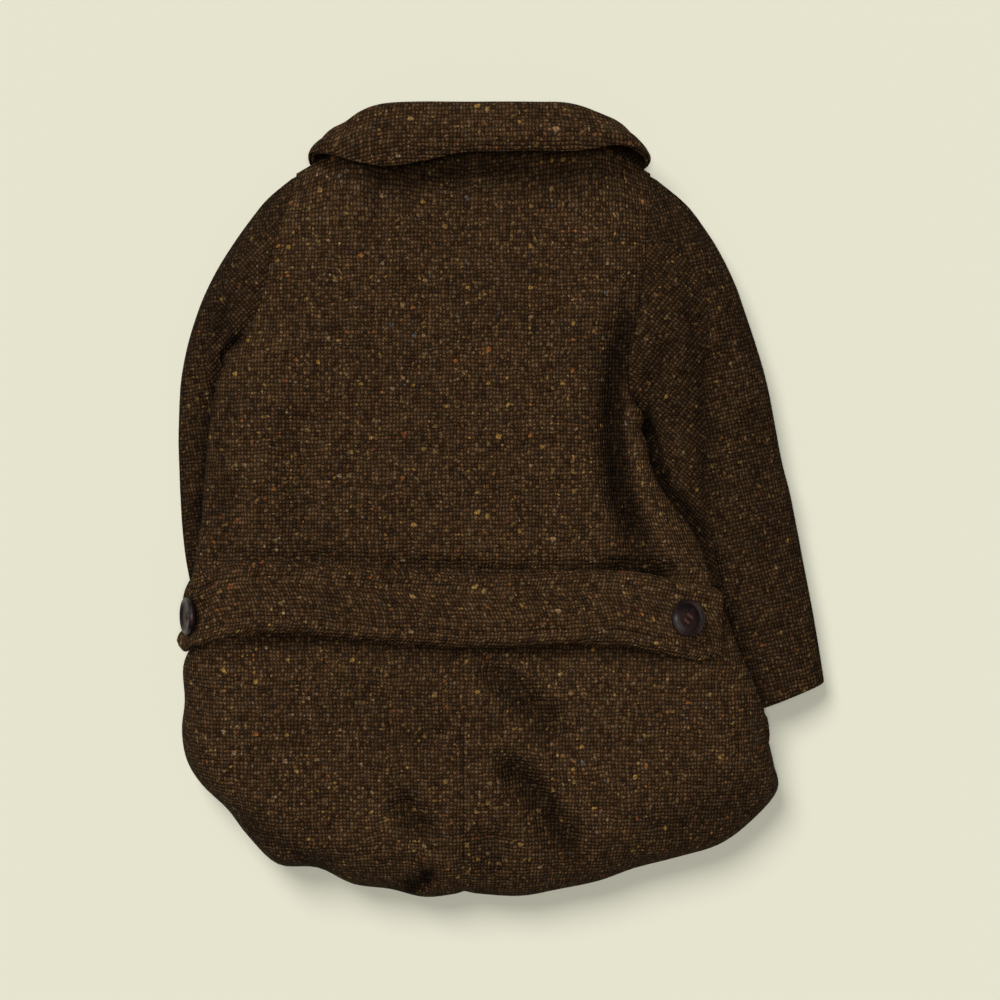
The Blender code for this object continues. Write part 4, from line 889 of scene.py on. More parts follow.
def shape_sleeve(side, back, armhole_facing, spines):
    """Both pieces of a sleeve: {"top": (face, normals, weave's places, run, cut), ...}."""
    back_face, back_facing, _ = back
    fine = FINER["back"][0]
    shares = np.interp(np.arange((len(ARMHOLE_SHARES) - 1) * fine + 1) / fine,
                       np.arange(len(ARMHOLE_SHARES)), ARMHOLE_SHARES)
    armhole = front_armhole(side, shares)
    armhole_facing = unit(finer(armhole_facing[:, None], rows=fine)[:, 0])
    count = int(np.sum(spines >= UNDERARM_SPINE[side] - 1e-6))
    away = -1 if side == "left" else 1
    upper, upper_facing = back_face[:count, -1], back_facing[:count, -1]
    loop = np.vstack([upper, armhole[::-1][:-1]]) + np.array([away * SEAM_GAP, 0, 0])
    facing = unit(np.vstack([upper_facing, armhole_facing[::-1][:-1]]))
    corner = count - 1
    half = 180 - UNDERARM_TURN
    climb = arc_lengths(upper) / arc_lengths(upper)[-1]
    first = np.concatenate([half * climb, 360 - half * shares[::-1][:-1]])
    hind, fore, total = HIND_AT[side] * fine, corner + 1 + FOREARM_AT * fine, len(first)
    rings = []
    for section in np.append(0, np.linspace(1.1, len(SLEEVES[side]) - 1, SLEEVE_SECTIONS - 1)):
        seam = sleeve_row(side, section)["hind"]
        regular = np.interp(np.arange(total), [0, hind, corner, corner + 1, fore, total],
                            [0, seam, half, 360 - half, FOREARM_SEAM, 360])
        settled = ease(section / 4)
        angles = first * (1 - settled) + regular * settled
        ring = sleeve_ring(side, section, angles)
        ring += (loop - sleeve_ring(side, 0, first)) * (1 - ease(section / 3.5))
        outside = away * (ring[:, 0] - rim_x(side, ring[:, 1]))
        roof = (lift(ring[:, 0], ring[:, 1]) - CUFF_CLEARANCE / 2
                - CLOTH * ((angles > 175) & (angles < 270)) + 4 * np.maximum(outside - 1.5, 0))
        below = ((angles > 60) & (ring[:, 1] < armhole[-1, 1])) * ease((section - 0.2) / 2.4)
        low = np.minimum(ring[:, 2], np.maximum(roof, 3))
        ring[:, 2] += (low - ring[:, 2]) * below
        rings.append(ring)
    tube = finer(np.array(rings), *FINER["sleeve"])
    normals = grid_normals(tube, closed=True)
    middle = tube.mean(axis=1, keepdims=True)
    if np.sum((tube - middle) * normals) < 0:
        normals = -normals
    normals[0] = facing
    up = np.clip(normals[..., 2], 0, 1)
    grow = ease(np.arange(len(tube)) / 12)[:, None]
    folds = crease_depth(SLEEVE_CREASES, tube[..., 0], tube[..., 1])
    tube = tube + normals * ((ripple(tube[..., 0] + 31, tube[..., 1] - 17) - folds)
                             * up * grow)[..., None]
    pieces = {}
    depth, width = SEAM_DIP
    for part, columns in (("top", np.arange(fore, total + hind + 1) % total),
                          ("under", np.arange(hind, fore + 1))):
        face, turned = tube[:, columns].copy(), normals[:, columns]
        for edge, beside in ((0, 1), (-1, -2)):
            face[:, edge] += unit(face[:, beside] - face[:, edge]) * SEAM_GAP / 2
        arcs = row_arcs(face)
        seam = -1 if part == "top" else 0
        dip = np.exp(-((arcs - arcs[:, seam:][:, :1]) / width) ** 2)
        run = column_arcs(face)
        dip = np.maximum(dip, np.exp(-(run / width) ** 2))
        face = face - turned * (depth * dip)[..., None]
        start, far = (len(columns) - 1, total - fore) if part == "top" else (0, corner - hind)
        uv = rolled_out(face, away if part == "top" else -away, SLEEVE_GRAIN[side, part], start)
        pieces[part] = (face, turned, uv, run, unrolled(face, (0, 0), start, far))
    return pieces


# ---------------------------------------------------------------- the collar
def collar_section(row):
    """One section of the turned-down collar: up the stand, round the fold, down the fall."""
    neck, fold, fall = np.array(row[0:3]), np.array(row[3:6]), np.array(row[6:9])
    chord = fall - neck
    axis = unit(fold - (neck + fall) / 2)
    side = chord - (chord @ axis) * axis
    radius = min(np.linalg.norm(side) / 2, 0.75 * np.linalg.norm(fold - (neck + fall) / 2))
    side = unit(side)
    centre = fold - axis * radius
    turn = np.radians([-90, -45, 0, 45, 90])
    arc = centre + radius * (np.cos(turn)[:, None] * axis + np.sin(turn)[:, None] * side)
    arc[2] = fold
    bow = side * row[9]
    return np.vstack([neck, (neck + arc[0]) / 2, arc, arc[-1] + (fall - arc[-1]) / 3 + bow,
                      arc[-1] + (fall - arc[-1]) * 2 / 3 + bow, fall])


def shape_collar():
    """The collar's middle face, its normals and the cloth's flat places."""
    halves = {}
    for side in ("left", "right"):
        rows = np.array(COLLAR[side], float)
        at = np.linspace(0, len(rows) - 1, COLLAR_STATIONS)
        values = np.stack([smooth(np.arange(len(rows)), rows[:, c], at)
                           for c in range(len(COLLAR_COLUMNS))], axis=1)
        halves[side] = np.array([collar_section(value) for value in values])
    middle = np.concatenate([halves["left"][::-1], halves["right"][1:]])
    middle = finer(middle, *FINER["collar"])
    normals = outward(grid_normals(middle), up_at=(len(middle) // 2, 32))
    fold = middle[:, 16]
    along = arc_lengths(fold)
    along = along - along[len(along) // 2]
    across = row_arcs(middle, 16)
    uv = np.stack([np.broadcast_to(along[:, None], across.shape), -across], axis=-1)
    return middle, normals, uv


# ---------------------------------------------------------------- the half belt
def shape_belt(backs):
    """The half belt's outer face, made from the back's points, moved out."""
    corners, faces = [], []
    for face, _, _ in backs.values():
        rows, columns = face.shape[:2]
        first = len(corners)
        corners += [tuple(point) for point in face.reshape(-1, 3)]
        faces += [tuple(first + n for n in (k, k + columns, k + columns + 1, k + 1))
                  for i in range(rows - 1) for k in range(i * columns, (i + 1) * columns - 1)]
    back = BVHTree.FromPolygons(corners, faces)

    def height(x, y):
        hit = back.ray_cast(Vector((max(x, BELT_DROP[-1][0]), y, 100)), Vector((0, 0, -1)))[0]
        return hit.z - np.interp(x, *zip(*BELT_DROP))

    rows = np.array(BELT, float)
    fine = np.linspace(rows[0, 0], rows[-1, 0], 400)
    middle = smooth(rows[:, 0], (rows[:, 1] + rows[:, 2]) / 2, fine)
    run = arc_lengths(np.array([(x, height(x, y)) for x, y in zip(fine, middle)]))
    stops = np.concatenate([np.linspace(0, BELT_BEND[0], BELT_BEND[1], endpoint=False),
                            np.linspace(BELT_BEND[0], run[-1], BELT_SEGMENTS)])
    at = np.interp(stops, run, fine)
    table = {name: smooth(rows[:, 0], rows[:, c], at) for c, name in enumerate(BELT_COLUMNS)}
    shares = np.linspace(0, 1, 5)
    base = np.zeros((len(at), len(shares), 3))
    stand_off = np.zeros((len(at), len(shares), 1))
    for i, x in enumerate(at):
        for j, share in enumerate(shares):
            y = table["upper"][i] * (1 - share) + table["lower"][i] * share
            shift = (rim_x("left", y) - rim_x("left", -75)) * 0.4 * float(ease((-150 - x) / 30))
            base[i, j] = x + shift, y, height(x, y)
            stand_off[i, j] = (table["upper_off"][i] * (1 - share)
                               + table["lower_off"][i] * share ** 1.5)
    level = at > -165
    for _ in range(6):
        z = base[..., 2]
        along, across = z.copy(), z.copy()
        along[1:-1] = (z[:-2] + z[2:]) / 2
        across[:, 1:-1] = (z[:, :-2] + z[:, 2:]) / 2
        z[level] = np.maximum(z, np.maximum(along, across))[level]
    normals = outward(grid_normals(base), up_at=(len(at) // 2, 2))
    under = base + normals * (BELT_REST + stand_off)
    return under + normals * BELT_CLOTH, normals


# ---------------------------------------------------------------- finishes
# How the yarns wander: pitch of the noise (1 / mm) and reach in mm, slow and quick
WANDER = ((0.055, 3.2), (0.33, 2.0))
YARN_WIDTH = (0.22, 0.38)   # in shares of the spacing: what a slub adds, and the least
# Lumps of dyed and undyed wool: spacing in mm, least and greatest radius and share of the
# places that hold one, shift, softness of the edge, strength of the colour
NEP_SIZES = ((3.4, 0.13, 0.25, 0.16, 11.0, 0.05, 0.72), (6.5, 0.12, 0.22, 0.10, 57.0, 0.03, 0.85))
# and their colours: place in the ramp and colour
NEPS = [(0.0, (0.28, 0.165, 0.050)), (0.36, (0.37, 0.205, 0.040)), (0.54, (0.32, 0.105, 0.022)),
        (0.64, (0.20, 0.050, 0.018)), (0.70, (0.30, 0.20, 0.10)), (0.82, (0.17, 0.135, 0.045)),
        (0.90, (0.09, 0.090, 0.085)), (0.95, (0.30, 0.17, 0.09))]
# Tints of the single yarns: brown, tan, olive, rust, grey
TINTS = [(0.0, (0.045, 0.024, 0.011)), (0.52, (0.105, 0.066, 0.030)),
         (0.68, (0.062, 0.054, 0.020)), (0.80, (0.098, 0.038, 0.014)),
         (0.91, (0.046, 0.042, 0.040))]
TINT_SHARE = 0.22
LIGHT_FIBRES_AND_HIGHLIGHT = (0.150, 0.094, 0.046)       # light fibres, and a painted highlight, on the tops of the yarns
COLLAR_SHADE = 0.93          # painted shade: the collar's yarn colours are dimmed by this factor
CREASE_SHADE = {"back": 11, "sleeve": 10}       # painted shade: a crease this deep (mm) would be painted black
SLEEVE_SHADE = 0.31         # painted shade: the sleeves lie lower and get less light, so they are painted darker by this share
FLANK_SHADE = 0.3           # painted shade: cloth that faces the side is painted darker by up to this share
SHADE_LIMITS = (-0.25, 0.75)    # least and greatest of all such painted shade together
# Lights: name, the direction that each comes from and its width in degrees
LIGHTS = (("Key light", (-0.42, 0.66, 1.0), 28), ("Top light", (0, 0, 1.0), 18))
FLOOR_SIZE = 8.0            # metres


def node(tree, kind, *values, **settings):
    """A new shader node; `values` are numbers or other nodes' outputs, in socket order."""
    made = tree.nodes.new(kind)
    for name, value in settings.items():
        setattr(made, name, value)
    for socket, value in zip([s for s in made.inputs if s.enabled], values):
        if isinstance(value, bpy.types.NodeSocket):
            tree.links.new(value, socket)
        elif value is not None:
            socket.default_value = value
    return made


def calc(tree, operation, *values):
    """A number worked out by a Math node."""
    return node(tree, "ShaderNodeMath", *values, operation=operation).outputs[0]


def vector(tree, operation, *values):
    """A vector worked out by a Vector Math node."""
    return node(tree, "ShaderNodeVectorMath", *values, operation=operation).outputs[0]


def joined(tree, x, y, z=0.0):
    """A vector from three numbers."""
    return node(tree, "ShaderNodeCombineXYZ", x, y, z).outputs[0]


def mixed(tree, share, a, b, kind="RGBA"):
    """`a` with a share of `b` mixed in: colours, or numbers."""
    made = node(tree, "ShaderNodeMix", share, a, b, data_type=kind)
    return next(s for s in made.outputs if s.enabled)


def fade(tree, value, low, high):
    """0 below `low`, 1 above `high`, soft between; also the other way round."""
    return node(tree, "ShaderNodeMapRange", value, low, high, 0.0, 1.0,
                interpolation_type="SMOOTHSTEP").outputs[0]


def split(tree, colour):
    """The three numbers of a colour."""
    return node(tree, "ShaderNodeSeparateColor", colour).outputs


def grain(tree, place, scale, detail=2.0, rough=0.5):
    """Soft noise: its value and its colour."""
    made = tree.nodes.new("ShaderNodeTexNoise")
    tree.links.new(place, made.inputs["Vector"])
    for name, value in (("Scale", scale), ("Detail", detail), ("Roughness", rough)):
        made.inputs[name].default_value = value
    return made.outputs["Fac"], made.outputs["Color"]


def ramp(tree, value, *stops):
    """A colour picked from stops of (place, colour)."""
    made = node(tree, "ShaderNodeValToRGB", value)
    made.color_ramp.interpolation = "CONSTANT"
    band = made.color_ramp.elements
    while len(band) < len(stops):
        band.new(1.0)
    for element, (place, colour) in zip(band, stops):
        element.position, element.color = place, (*colour, 1.0)
    return made.outputs[0]


def weave_inputs(tree, colours):
    """The named inputs and outputs of the weave's node group; returns the inputs."""
    for name, kind, value in (("Flat place", "Vector", None),
                              ("Warp spacing", "Float", 2.18),
                              ("Weft spacing", "Float", 2.46),
                              ("Dark yarn", "Color", (*colours.dark_yarn, 1)),
                              ("Light yarn", "Color", (*colours.light_yarn, 1)),
                              # painted shade: how much darker the colour is painted, for creases,
                              # flanks and low lying parts
                              ("Hollow", "Float", 0.0)):
        socket = tree.interface.new_socket(name=name, in_out="INPUT",
                                           socket_type="NodeSocket" + kind)
        if value is not None:
            socket.default_value = value
    for name, kind in (("Colour", "Color"), ("Height", "Float")):
        tree.interface.new_socket(name=name, in_out="OUTPUT", socket_type="NodeSocket" + kind)
    return tree.nodes.new("NodeGroupInput").outputs


def tweed_group(colours):
    """Node group: plain weave of thick slubbed yarns with coloured neps spun in."""
    tree = bpy.data.node_groups.new("Flecked tweed", "ShaderNodeTree")
    given = weave_inputs(tree, colours)
    times, plus, less, scaled = (partial(calc, tree, operation) for operation in
                                 ("MULTIPLY", "ADD", "SUBTRACT", "MULTIPLY_ADD"))
    flat = vector(tree, "MULTIPLY", given["Flat place"], (1 / MM, 1 / MM, 0.0))
    moved = flat
    for pitch, reach in WANDER:
        drift = vector(tree, "SUBTRACT", grain(tree, flat, pitch, 1.0)[1], (0.5, 0.5, 0.5))
        moved = vector(tree, "MULTIPLY_ADD", drift, (reach, reach, 0.0), moved)
    x, y, _ = node(tree, "ShaderNodeSeparateXYZ", moved).outputs
    x = calc(tree, "DIVIDE", x, given["Warp spacing"])
    y = calc(tree, "DIVIDE", y, given["Weft spacing"])
    ix, iy = calc(tree, "FLOOR", x), calc(tree, "FLOOR", y)
    fx, fy = less(less(x, ix), 0.5), less(less(y, iy), 0.5)
    over = calc(tree, "FLOORED_MODULO", plus(ix, iy), 2.0)
    across, along = mixed(tree, over, fx, fy, "FLOAT"), mixed(tree, over, fy, fx, "FLOAT")
    yarn = mixed(tree, over, ix, plus(iy, 531.0), "FLOAT")
    # each yarn is thick and thin, and dark and light, along its length
    place = joined(tree, times(yarn, 7.31), times(mixed(tree, over, y, x, "FLOAT"), 0.45))
    slub, tone = grain(tree, place, 1.0, 2.0)
    spread = calc(tree, "DIVIDE", across, scaled(slub, *YARN_WIDTH))
    spread = calc(tree, "ABSOLUTE", times(spread, math.pi / 2))
    round_ = calc(tree, "COSINE", calc(tree, "MINIMUM", spread, math.pi / 2))
    arch = calc(tree, "MAXIMUM", calc(tree, "COSINE", times(along, 3.0)), 0.0)
    height = times(round_, scaled(arch, 0.8, 0.2))
    fibre, _ = grain(tree, moved, 1.15, 3.0, 0.65)
    # the cloth's colour, yarn by yarn, with a tint of its own where each yarn shows
    cell = node(tree, "ShaderNodeTexWhiteNoise", joined(tree, ix, iy, 3.0))
    odd, bright, kind = split(tree, cell.outputs[1])
    pick = plus(times(split(tree, tone)[0], 0.8), scaled(odd, 0.55, -0.225))
    pick = plus(pick, scaled(fibre, 1.2, -0.6))
    colour = mixed(tree, fade(tree, pick, 0.1, 0.95), given["Dark yarn"], given["Light yarn"])
    colour = mixed(tree, TINT_SHARE, colour, ramp(tree, kind, *TINTS))
    for size, low, high, share, seed, soft, strength in NEP_SIZES:
        lumps = node(tree, "ShaderNodeTexVoronoi", voronoi_dimensions="2D")
        tree.links.new(vector(tree, "ADD", moved, (seed, seed * 2, 0.0)), lumps.inputs["Vector"])
        lumps.inputs["Scale"].default_value = 1.0 / size
        there, dye, large = split(tree, lumps.outputs["Color"])
        near = less(scaled(large, high - low, low), lumps.outputs["Distance"])
        mask = fade(tree, plus(near, scaled(fibre, 0.16, -0.08)), -soft, soft)
        mask = times(mask, calc(tree, "LESS_THAN", there, share))
        colour = mixed(tree, times(mask, strength), colour, ramp(tree, dye, *NEPS))
        height = scaled(mask, 0.25, height)
    bright = times(bright, bright)
    # painted highlight on the tops of the yarns, stronger on some yarns than on others
    fibres_and_highlight = times(fade(tree, height, 0.45, 0.95), scaled(bright, 0.34, 0.05))
    colour = mixed(tree, fibres_and_highlight, colour, (*LIGHT_FIBRES_AND_HIGHLIGHT, 1.0))
    # painted shade between the yarns and in creases, and colour darker or lighter at random in the
    # fluff, yarn by yarn and in broad patches
    fluff, _ = grain(tree, flat, 1.25, 4.0, 0.85)
    broad, _ = grain(tree, flat, 0.018, 2.0)
    # painted shade at the scale of the weave: yarn tops lighter, the gaps between them darker
    shade = scaled(fade(tree, height, 0.05, 0.9), 0.58, 0.38)
    # the third of these is the painted shade of creases, flanks and the low sleeves
    for part in (calc(tree, "MAXIMUM", scaled(fluff, 5.4, -1.62), 0.18),
                 scaled(bright, 0.5, 0.82), less(1.0, given["Hollow"]),
                 scaled(broad, 0.3, 0.86)):
        shade = times(shade, part)
    scale = node(tree, "ShaderNodeVectorMath", colour, operation="SCALE")
    tree.links.new(shade, scale.inputs["Scale"])
    result = tree.nodes.new("NodeGroupOutput")
    tree.links.new(scale.outputs[0], result.inputs["Colour"])
    tree.links.new(scaled(fibre, 0.30, height), result.inputs["Height"])
    return tree


def new_material(name, **values):
    """A material with these values on its shader; returns it, its tree and its shader."""
    material = bpy.data.materials.new(name)
    material.use_nodes = True
    shader = material.node_tree.nodes["Principled BSDF"]
    for socket, value in values.items():
        shader.inputs[socket.replace("_", " ")].default_value = value
    return material, material.node_tree, shader


def roughen(tree, shader, height, strength, distance):
    """A bump of this height, strength and depth on the shader."""
    bump = tree.nodes.new("ShaderNodeBump")
    bump.inputs["Strength"].default_value = strength
    bump.inputs["Distance"].default_value = distance
    tree.links.new(height, bump.inputs["Height"])
    tree.links.new(bump.outputs["Normal"], shader.inputs["Normal"])


def tweed(name, settings, tone=1.0):
    """The tweed of one piece: its own values in the shared weave, which is made on first use;
    `tone` dims its yarn colours, as painted shade on the collar.
    """
    material, tree, shader = new_material(name, Roughness=0.95, Metallic=0.0,
                                          Specular_IOR_Level=0.05)
    weave = tree.nodes.new("ShaderNodeGroup")
    weave.node_tree = bpy.data.node_groups.get("Flecked tweed") or tweed_group(settings)
    place = node(tree, "ShaderNodeUVMap", uv_map="weave")
    tree.links.new(place.outputs[0], weave.inputs["Flat place"])
    # painted shade, read from each point of the piece
    hollow = node(tree, "ShaderNodeAttribute", attribute_name="hollow")
    tree.links.new(hollow.outputs["Fac"], weave.inputs["Hollow"])
    weave.inputs["Warp spacing"].default_value = settings.warp_spacing / MM
    weave.inputs["Weft spacing"].default_value = settings.weft_spacing / MM
    for socket, colour in (("Dark yarn", settings.dark_yarn), ("Light yarn", settings.light_yarn)):
        weave.inputs[socket].default_value = (*[c * tone for c in colour], 1.0)
    tree.links.new(weave.outputs["Colour"], shader.inputs["Base Color"])
    roughen(tree, shader, weave.outputs["Height"], 1.0, 0.0009)
    return material


def horn(name, settings):
    """Polished dark horn with cloudy streaks."""
    material, tree, shader = new_material(name, Coat_Weight=0.12, Coat_Roughness=0.2,
                                          Specular_IOR_Level=0.3)
    place = node(tree, "ShaderNodeTexCoord").outputs["Object"]
    stretched = vector(tree, "MULTIPLY", place, (260.0, 120.0, 260.0))
    cloud, _ = grain(tree, stretched, 1.0, 4.0, 0.6)
    streak, _ = grain(tree, vector(tree, "MULTIPLY", place, (1500.0, 300.0, 1500.0)), 1.0, 2.0)
    colour = mixed(tree, fade(tree, cloud, 0.35, 0.7), (*settings.horn_dark, 1),
                   (*settings.horn_light, 1))
    tree.links.new(colour, shader.inputs["Base Color"])
    rough = calc(tree, "MULTIPLY_ADD", streak, 0.16, 0.34)
    tree.links.new(rough, shader.inputs["Roughness"])
    roughen(tree, shader, streak, 0.25, 0.0003)
    return material


def thread(name, colour):
    """Twisted sewing thread."""
    material, tree, shader = new_material(name, Roughness=0.75)
    place = node(tree, "ShaderNodeTexCoord").outputs["Object"]
    twist, _ = grain(tree, place, 2500.0, 2.0)
    tone = mixed(tree, twist, (*[c * 0.5 for c in colour], 1), (*[c * 1.5 for c in colour], 1))
    tree.links.new(tone, shader.inputs["Base Color"])
    roughen(tree, shader, twist, 0.5, 0.0002)
    return material


def dress(piece, material, node_name):
    """The piece gets its finish, and the solid of its CAD node, if any, is hidden."""
    piece.data.materials.clear()
    piece.data.materials.append(material)
    if node_name:
        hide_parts(node_name)


# ---------------------------------------------------------------- user's settings
class CoatSizes(bpy.types.PropertyGroup):
    cloth: bpy.props.FloatProperty(
        name="Cloth", description="Thickness of one layer of the tweed",
        default=CLOTH * MM, min=0.001, max=0.004, unit="LENGTH", subtype="DISTANCE")
    warp_spacing: bpy.props.FloatProperty(
        name="Warp spacing", description="Distance from one warp yarn to the next",
        default=0.00218, min=0.0005, max=0.006, unit="LENGTH", subtype="DISTANCE")
    weft_spacing: bpy.props.FloatProperty(
        name="Weft spacing", description="Distance from one weft yarn to the next",
        default=0.00246, min=0.0005, max=0.006, unit="LENGTH", subtype="DISTANCE")
    stitch: bpy.props.FloatProperty(
        name="Stitch length", description="Length of one stitch of the half belt's topstitching",
        default=0.0030, min=0.001, max=0.008, unit="LENGTH", subtype="DISTANCE")
    button: bpy.props.FloatProperty(
        name="Button", description="Diameter of a half belt button",
        default=BUTTON_DIAMETER * MM, min=0.01, max=0.04, unit="LENGTH", subtype="DISTANCE")
    button_hole: bpy.props.FloatProperty(
        name="Button hole", description="Diameter of one hole for the thread in a button",
        default=0.0022, min=0.0005, max=0.004, unit="LENGTH", subtype="DISTANCE")


class CoatColours(bpy.types.PropertyGroup):
    dark_yarn: bpy.props.FloatVectorProperty(
        name="Dark yarn", description="Darker of the colours in the tweed's yarns",
        default=(0.031, 0.0142, 0.0058), min=0, max=1, subtype="COLOR")
    light_yarn: bpy.props.FloatVectorProperty(
        name="Light yarn", description="Lighter of the colours in the tweed's yarns",
        default=(0.126, 0.0635, 0.0250), min=0, max=1, subtype="COLOR")
    button_thread: bpy.props.FloatVectorProperty(
        name="Button thread", description="Thread that holds the buttons",
        default=(0.050, 0.012, 0.008), min=0, max=1, subtype="COLOR")
    horn_dark: bpy.props.FloatVectorProperty(
        name="Dark horn", description="Darker streaks of the buttons",
        default=(0.006, 0.0032, 0.0030), min=0, max=1, subtype="COLOR")
    horn_light: bpy.props.FloatVectorProperty(
        name="Light horn", description="Lighter streaks of the buttons",
        default=(0.024, 0.010, 0.008), min=0, max=1, subtype="COLOR")


class CoatStage(bpy.types.PropertyGroup):
    floor: bpy.props.FloatVectorProperty(
        name="Floor", description="Colour of the floor",
        default=(0.80, 0.785, 0.632), min=0, max=1, subtype="COLOR")
    camera_height: bpy.props.FloatProperty(
        name="Camera height", description="Height of the camera above the floor",
        default=2.02, min=0.5, max=6, unit="LENGTH", subtype="DISTANCE")
    lens: bpy.props.FloatProperty(
        name="Lens", description="Focal length of the camera, in millimetres",
        default=116.13, min=20, max=300, unit="CAMERA")
    key_light: bpy.props.FloatProperty(
        name="Key light", description="Strength of the soft light at the upper left",
        default=1.89, min=0, max=20)
    top_light: bpy.props.FloatProperty(
        name="Top light", description="Strength of the soft light from overhead",
        default=1.47, min=0, max=20)
    sky: bpy.props.FloatProperty(
        name="Sky", description="Strength of the even light from all round",
        default=0.05, min=0, max=5)


class Settings:
    """Sizes and colours together, as the finishes need them."""

    def __init__(self, scene):
        for group in (scene.coat_sizes, scene.coat_colours):
            for name in group.bl_rna.properties.keys():
                if name not in ("rna_type", "name"):
                    setattr(self, name, getattr(group, name))


def flank(facing):
    """How much darker the cloth is painted where it faces the side, as painted shade: less light
    gets in there.
    """
    return FLANK_SHADE * ease((0.98 - facing[..., 2]) / 0.7)


def lay(face, cut):
    """Works out the flat size of a piece of cloth, grown to hold its area, and keeps nothing; `cut`
    holds the flat place of each point of its face.
    """
    size = (cut.reshape(-1, 2).max(axis=0) - cut.reshape(-1, 2).min(axis=0)) * MM
    across = np.cross(face[1:, 1:] - face[:-1, :-1], face[:-1, 1:] - face[1:, :-1])
    area = float(np.linalg.norm(across, axis=-1).sum()) / 2 * MM**2
    size *= max(1.0, math.sqrt(area / (size[0] * size[1])))


class COAT_OT_back(bpy.types.Operator):
    """Make both halves of the back"""
    bl_idname = "coat.back"
    bl_label = "Back"

    def execute(self, context):
        settings = Settings(context.scene)
        backs, _ = shape_backs()
        for side, (face, facing, uv) in backs.items():
            # painted shade: creases and cloth facing the side are painted darker
            hollow = crease_depth(CREASES, face[..., 0], face[..., 1]) / CREASE_SHADE["back"]
            piece = shell(f"tweed_back_{side}", face, facing, settings.cloth / MM, uv,
                          hollow=hollow + flank(facing))
            dress(piece, tweed(f"Tweed back {side}", settings), f"back_{side}")
            lay(face, uv)
        return {"FINISHED"}


class COAT_OT_fronts(bpy.types.Operator):
    """Make both fronts, which lie underneath"""
    bl_idname = "coat.fronts"
    bl_label = "Fronts"

    def execute(self, context):
        settings = Settings(context.scene)
        backs, _ = shape_backs()
        for side in ("left", "right"):
            face, normals, layer, uv, _ = shape_front(side, backs)
            piece = shell(f"tweed_front_{side}", face, normals, layer, uv, (0, 1, 1, 0))
            dress(piece, tweed(f"Tweed front {side}", settings), f"front_{side}")
            lay(face, uv)
        return {"FINISHED"}


class COAT_OT_sleeves(bpy.types.Operator):
    """Make both two-piece sleeves"""
    bl_idname = "coat.sleeves"
    bl_label = "Sleeves"

    def execute(self, context):
        settings = Settings(context.scene)
        backs, spines = shape_backs()
        for side in ("left", "right"):
            armhole_facing = shape_front(side, backs)[4]
            pieces = shape_sleeve(side, backs[side], armhole_facing, spines)
            for part, (face, turned, uv, run, cut) in pieces.items():
                left = run[-1:] - run
                thick = CLOTH + (CUFF_HEM[1] - CLOTH) * ease((CUFF_HEM[0] - left) / 3)
                sunk = crease_depth(SLEEVE_CREASES, face[..., 0], face[..., 1])
                # painted shade: creases, cloth facing the side and the low lying sleeves are
                # painted darker
                hollow = sunk / CREASE_SHADE["sleeve"] + flank(turned) + SLEEVE_SHADE
                piece = shell(f"tweed_sleeve_{side}_{part}", face, turned, thick, uv,
                              (0, 1, 0, 0), hollow=hollow)
                dress(piece, tweed(f"Tweed sleeve {side} {part}", settings),
                      f"sleeve_{side}_{part}")
                lay(face, cut)
        return {"FINISHED"}


class COAT_OT_collar(bpy.types.Operator):
    """Make the two layers of the turn-down collar"""
    bl_idname = "coat.collar"
    bl_label = "Collar"

    def execute(self, context):
        settings = Settings(context.scene)
        middle, normals, uv = shape_collar()
        for name, near in (("upper_collar", SEAM / 2), ("under_collar",
                                                        -SEAM / 2 - COLLAR_LAYER)):
            face = middle + normals * (near + COLLAR_LAYER)
            piece = shell(f"tweed_{name}", face, normals, COLLAR_LAYER, uv, (1, 1, 0, 1))
            # the collar's colours are dimmed as painted shade
            dress(piece, tweed(f"Tweed {name}".replace("_", " "), settings, COLLAR_SHADE),
                  name)
            lay(face, uv)
        return {"FINISHED"}


class COAT_OT_half_belt(bpy.types.Operator):
    """Make the half belt"""
    bl_idname = "coat.half_belt"
    bl_label = "Half belt"

    def execute(self, context):
        settings = Settings(context.scene)
        backs, _ = shape_backs()
        face, normals = shape_belt(backs)
        face, normals = finer(face, *BELT_FINER), unit(finer(normals, *BELT_FINER))
        across = row_arcs(face)
        along = column_arcs(face)
        edge = np.minimum(np.minimum(across, across[:, -1:] - across), along[-1:] - along)
        line = np.exp(-((edge - BELT_STITCH) / STITCH_WIDTH) ** 2)
        beat = np.cos(2 * np.pi * along / (settings.stitch / MM))
        rise = (BELT_PAD * np.sin(np.pi * np.clip(edge / BELT_STITCH, 0, 1))
                - (STITCH_SINK[0] - STITCH_SINK[1] * beat) * line
                - BELT_EDGE[0] * (1 - np.clip(edge / BELT_EDGE[1], 0, 1)) ** 2
                + BELT_RIPPLE * ripple(face[..., 0] + 90, face[..., 1]))
        thick = BELT_CLOTH + rise
        face = face + normals * rise[..., None]
        uv = np.stack([along + face[0, :, 0], -across], axis=-1)
        piece = shell("tweed_half_belt", face, normals, thick, uv, (1, 1, 1, 1))
        dress(piece, tweed("Tweed half belt", settings), "half_belt")
        lay(face, uv)
        return {"FINISHED"}


def button_seat(node_name):
    """Middle of a button's back and its axis, from its solid."""
    corners = np.array([tuple(v.co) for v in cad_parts[node_name].data.vertices])
    corners = np.unique(corners.round(6), axis=0)
    middle = (corners.max(axis=0) + corners.min(axis=0)) / 2
    axis = np.linalg.svd(corners - corners.mean(axis=0))[2][2]
    axis = axis * np.sign(axis[2])
    return Vector(middle + axis * ((corners - middle) @ axis).min()), Vector(axis)


